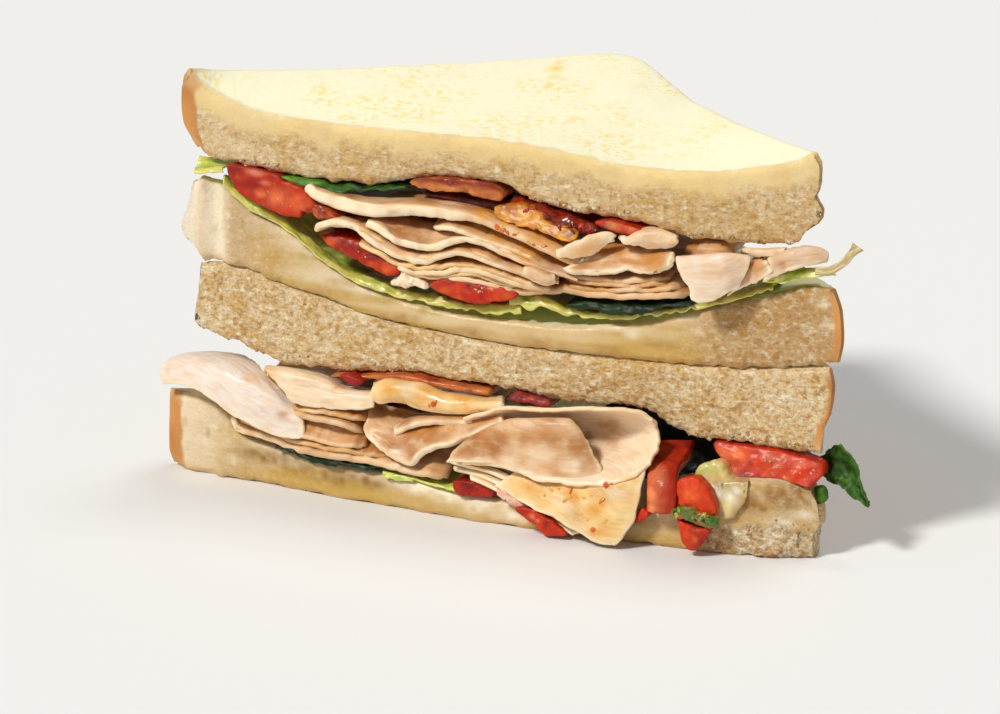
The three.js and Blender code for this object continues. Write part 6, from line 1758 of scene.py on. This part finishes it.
scraps = {
    "bacon_upper": (chunk_piece, bacon_paint([
        (SKIN_DARK, 0.8, 2.0, "-15 78.8 1.8, -9 79.2 1.6"),
        (BACON_GOLD, 0.9, 2.6, "-9 77.2 1, -3 77.4 1.4, 2 77 1.8")], 911),
        dict(out=2.0, depth=15, bulge=0.2, radius=0.5, lumpy=0.45, ragged=0.4, seed=910), """
    -19.5 78.4, -17.4 79.4, -14.1 79.9, -7.8, -1.6 79.8, 1.3 79.2, 3.4 78.1, 4.5 77, 3.8 75.9, 1.7,
    -0.8 76.7, -5.7 77.1, -12.4 76.9, -15.3, -17.8 77.4"""),
    "bacon_lower": (lump_piece, bacon_paint([
        (daylight(226, 122, 58), 0.9, 3.0, "-27 30.4 1.8, -18 31, -10 30.4 1.4"),
        (SKIN_DARK, 0.7, 1.6, "-4 29.6 1.2")], 913),
        dict(out=1.2, depth=24, seed=912), """
    -40 29.2 28.6, -36 30.2 28.8, -31 30.6 29, -26 31.4 29.2, -20 31.9, -13 31.2 28.8, -6 30.8 28.4,
    1 30 28.2"""),
    "bacon_lower_bit": (lump_piece, plain_paint(daylight(92, 14, 26), daylight(176, 66, 60), 0.4, 2.0, 915),
        dict(out=2, depth=14, lumpy=0.4, seed=914), "5 29.2 27.8, 10 30 27.4, 13 29.8 27.2, 16.6 29 27.8"),
    "relish_upper": (lump_piece, plain_paint(RELISH_DARK, RELISH_RED, 0.5, 2.4, 900),
        dict(out=1.2, depth=22, lean=1.0, lumpy=0.7, seed=916), """
    3 74.4 72.6, 7 75.8 71.8, 12 75.6 71, 18 74.2 69.8, 24 73 69.4, 28 72.4 70.8"""),
    # Relish far back under the bread, its dark red darkened further as painted shade.
    "relish_upper_back": (lump_piece, plain_paint(RELISH_DARK * 0.7, RELISH_RED, 0.3, 2.4, 902),
        dict(out=-0.6, depth=12, seed=920), """
    -16 76.4 75.6, -9 76.6 74.2, -3 76.6 72.8, 2 76.2 72.2, 5 75 72.6"""),
    "relish_upper_gold": (chunk_piece, amber_paint,
        dict(out=3.0, depth=4, finish=amber_finish, lean=0.55, bulge=0.1, lumpy=0.12, ragged=0.6,
             seed=924), """
    1.7 74.5, 5.5 75.8, 9.8, 13.1 74.7, 16.5 71.7, 20.9 70.7, 22.8 69.1, 19.8 67.7, 14.1 69.3,
    7.4 70.5, 2.5 72"""),
    "relish_upper_left": (chunk_piece,
        plain_paint(daylight(140, 36, 14), daylight(204, 92, 44), 0.5, 1.4, 903),
        dict(out=3.2, depth=8, seed=921), """
    -43.8 70.6, -40.9 70.2, -38.7 68.8, -36.6 67.9, -39.6 67.2, -42.1, -43.6 68"""),
    "turkey_upper_scrap": (chunk_piece, plain_paint(MEAT_LIP, MEAT_RAG, 0.3, 1.4, 901),
        dict(out=2.6, depth=8, lumpy=0.5, ragged=0.5, seed=917), """
    -24.1 54.2, -22.6 55.3, -20.1 56.1, -17.5 55.8, -15 54.1, -15.6 53.1, -18 53.3, -20.9 53,
    -23.4 52.8"""),
    "turkey_lower_scrap": (chunk_piece, plain_paint(MEAT_RAG, daylight(232, 160, 140), 0.4, 1.2, 904),
        dict(out=11.4, depth=4, room=None, lumpy=0.4, ragged=0.5, seed=922),
        "2.2 6.2, 3.6 6.8, 6.3 5.6, 9.4 3.4, 7.9 2.8, 5 3.7, 2.8 4.6"),
    "herb_lower": (chunk_piece, plain_paint(LEAF_BRIGHT, daylight(176, 90, 30), 0.35, 1.6, 919),
        dict(out=13, depth=2.2, room=None, bulge=0.8, lumpy=0.45, ragged=0.5, seed=918), """
    45.4 6.8, 48 8, 51.5 7.7, 54.6 7, 56.8 5.4, 56.5 3.8, 53.6 3.7, 50.4 4.6, 47 5.1"""),
    "lettuce_lower_rib": (chunk_piece, rib_paint,
        dict(out=8.3, depth=5, lean=0.12, bulge=0.2, radius=1.2, lumpy=0.14, ragged=0.25, seed=923), """
    51.1 15.5, 52 17.4, 54.7 19.2, 57.6 19.3, 58.9 17.2, 60.9 15.6, 63.3 15, 63.9 12.3, 62.8 9.1,
    60.5 6.4, 57.8 5.4, 54.6 7.5, 51.5 10.1, 50.2 13"""),
}
for name, (shaped_by, paint, shape, outline) in scraps.items():
    slot = name.split("_")[0]
    shaped_by(name, outline, slot=slot, paint=paint,
              **{"room": room_of(name), "finish": wet_finishes[slot], **shape})
print("scraps:", len(scraps))

# %% [markdown]
# The small bits give scale: seeds and juice on tomato, sauce on the meat, crumbs at the torn hem. Set
# by hand they would float or sink, and spread by a particle system they would cover the back too. Each
# is a bead. A line of sight through its place on the cut is followed until it meets the piece that
# carries it, and the bead is set there, half sunk and pressed flat.


# %% Beads
def seen_on(host, x, z):
    """The first point of a piece on the line of sight through x and z on the cut, and its normal."""
    if host not in trees:
        mesh = pieces[host].data
        corners = np.zeros(len(mesh.vertices) * 3)
        mesh.vertices.foreach_get("co", corners)
        trees[host] = BVHTree.FromPolygons(corners.reshape(-1, 3).tolist(),
                                           [p.vertices[:] for p in mesh.polygons])
    start = Vector(eye * MM)
    ahead = (Vector((x * MM, CUT_FACE_Y * MM, z * MM)) - start).normalized()
    spot, normal, _, _ = trees[host].ray_cast(start, ahead)
    if spot is None:
        return None
    return np.array(spot) / MM - [0, CUT_FACE_Y, 0], np.array(normal) * (-1 if normal.dot(ahead) > 0 else 1)


def scatter(seed, patches):
    """Random places. A patch is x, z, half width, half height, how many, and least and greatest radius."""
    draw = np.random.default_rng(seed)
    drawn = []
    for x, z, wide, high, many, small, large in rows(patches):
        angle, away = draw.uniform(0, 2 * np.pi, int(many)), np.sqrt(draw.uniform(0, 1, int(many)))
        size = draw.uniform(small, large, int(many))
        drawn.append(places(x + wide * away * np.cos(angle), z + high * away * np.sin(angle), size))
    return np.concatenate(drawn)


BEAD_RINGS, BEAD_POINTS = 8, 12


def beads(name, hosts, spread, colours, finish, slot, flat=0.6, lumpy=0.3, seed=0):
    """Small lumps on the nearest of the host pieces, all in one mesh, each in one of the colours."""
    draw = np.random.default_rng(seed)
    lat = np.linspace(0, np.pi, BEAD_RINGS)[:, None]
    lon = np.linspace(0, 2 * np.pi, BEAD_POINTS, endpoint=False)[None, :]
    ball = places(np.sin(lat) * np.cos(lon), np.sin(lat) * np.sin(lon), np.cos(lat))
    points, tints, faces = [], [], []
    ids = np.arange(BEAD_RINGS * BEAD_POINTS).reshape(BEAD_RINGS, BEAD_POINTS)
    for x, z, radius in spread:
        met = [hit for hit in (seen_on(host, x, z) for host in hosts) if hit]
        if not met:
            continue
        spot, normal = min(met, key=lambda hit: hit[0][1])
        side = np.cross(normal, draw.normal(size=3))
        side /= np.linalg.norm(side)
        long = draw.uniform(0.8, 1.6)
        turn = np.stack([side * long, np.cross(normal, side) / long, normal * flat])
        lump = ball * (1 + lumpy * noise(ball + spot, 0.8, seed))[..., None]
        faces.append(quads(ids, wrap=True) + ids.size * len(points))
        points.append((spot + lump @ turn * radius).reshape(-1, 3))
        tint = colours[draw.integers(len(colours))] * draw.uniform(0.75, 1.1)
        tints.append(np.tile(tint, (ids.size, 1)))
    everything = np.concatenate(points)
    values = {"tint": np.clip(np.concatenate(tints), 0, 1), "crumb": np.ones(len(everything))}
    return make_piece(name, everything, list(np.concatenate(faces)), values, finish, slot)


trees = {}
slices_there = ["turkey_upper_6", "turkey_upper_edge_6", "turkey_upper_5", "turkey_upper_edge_5",
                "relish_upper", "relish_upper_gold"]
slices_below = ["turkey_lower_flap", "turkey_lower_5", "turkey_lower_4", "turkey_lower_bowl"]
sauce_places = rows("""
    2.9 69.8 0.7, 4.2 69.2 0.8, 5.4 68.8 0.6, 7.2 68.4 0.5, 14.5 66.4, 12 66.5 0.4, 29.2 6.5 0.6,
    21.5 8 0.5, 27 -0.8 0.6, 30 10.6, 31.4 10.9 0.5, -13.4 25.1 0.7, -12.6 25.8 0.4, -14.4 24.6,
    -57 28.4""")
beads("relish_jelly", slices_there, scatter(1, "13 74.4 5 0.8 7 0.4 0.9, 22 71.4 4 1 9"),
      [daylight(150, 30, 14), daylight(206, 60, 24), daylight(120, 20, 10)],
      relish_finish, "relish", flat=0.35, lumpy=0.6, seed=31)
beads("sauce_bits", slices_there + slices_below, sauce_places,
      [daylight(226, 110, 34), daylight(222, 96, 30), daylight(230, 140, 40)],
      relish_finish, "relish", flat=0.3, seed=32)
beads("juice_drops", ["turkey_lower_flap", "turkey_lower_vee", "turkey_upper_6", "turkey_lower_bowl"],
      scatter(6, """
    22 6.4 8 2 11 0.25 0.6, 28 2 4 2.4 4 0.2 0.5, -10 20 6 1.2 7 0.2 0.4, 10 69 8 2.4 12 0.2 0.5,
    14 12 8 1 5 0.15 0.3"""),
      [daylight(240, 186, 96), daylight(232, 164, 70)],
      relish_finish, "turkey", flat=0.22, lumpy=0.1, seed=36)
beads("tomato_seeds", ["tomato_lower_slice", "tomato_upper_left", "tomato_lower_stick",
                       "tomato_upper_middle", "tomato_upper_right"],
      scatter(3, """
    71 21.4 3 1.4 6 0.2 0.4, 78 20.6 3 2.2 8 0.15 0.35, -52 72 6 2.6 5 0.12 0.25, 44 14 1.4 2 5,
    -31 60 5 1.6, 0 54.6 4 1 8 0.15 0.35, 60.4 21 2 1.6 6 0.12 0.25"""),
      [FLESH_PINK, daylight(236, 176, 124), daylight(236, 150, 96)], relish_finish, "tomato", seed=33)
beads("leaf_flecks", ["herb_lower", "tomato_lower_wedge", "tomato_lower_tip", "bread_base"],
      scatter(4, "51 5.8 5 1.4 16 0.25 0.6, 46.6 6.6 1.2 0.8 8 0.2 0.5, 55.4 5 1.6 1 8 0.25 0.6"),
      [LEAF_BRIGHT, daylight(120, 160, 40), LEAF_DARK, daylight(190, 170, 60)],
      lettuce_finish, "herb", seed=34)
beads("bread_crumbs", ["bread_top", "bread_upper_middle", "bread_lower_middle", "bread_base"],
      scatter(5, """
    10 76.4 26 1.6 60 0.2 0.5, 60 72.6 18 1.2 40 0.2 0.45, 64 25.8 18 1.2 50 0.2 0.5,
    -40 33 30 1.2 40 0.2 0.45, 72 5.5 9 2.4 20 0.15 0.35, -60 79.4 12 1 20 0.2 0.4"""),
      [daylight(214, 176, 112), daylight(244, 226, 190), daylight(190, 140, 72)],
      bread_finish, "bread", flat=0.8, seed=35)
print("beads:", sum(len(pieces[name].data.vertices) for name in (
    "relish_jelly", "sauce_bits", "juice_drops", "tomato_seeds", "leaf_flecks", "bread_crumbs"))
      // (BEAD_RINGS * BEAD_POINTS))

# %% [markdown]
# ## Floor
# A plain pale floor just below the bread carries the shadow.


# %% Floor
def make_floor(half=3.0):
    """One big square under the stack, twice `half` metres wide."""
    mesh = bpy.data.meshes.new("floor")
    corners = [(-half, -half, 0), (half, -half, 0), (half, half, 0), (-half, half, 0)]
    mesh.from_pydata(corners, [], [(0, 1, 2, 3)])
    f = Finish("pale_floor", base_color=(0.86, 0.86, 0.85, 1.0), roughness=0.7)
    mesh.materials.append(f.material)
    floor = bpy.data.objects.new("floor", mesh)
    bpy.context.scene.collection.objects.link(floor)


make_floor()

# %% [markdown]
# ## Finish
# The triangles in all the pieces are counted.

# %% Sizes and finish
print("triangles in all:", sum(len(p.data.loops) - 2 * len(p.data.polygons) for p in pieces.values()))
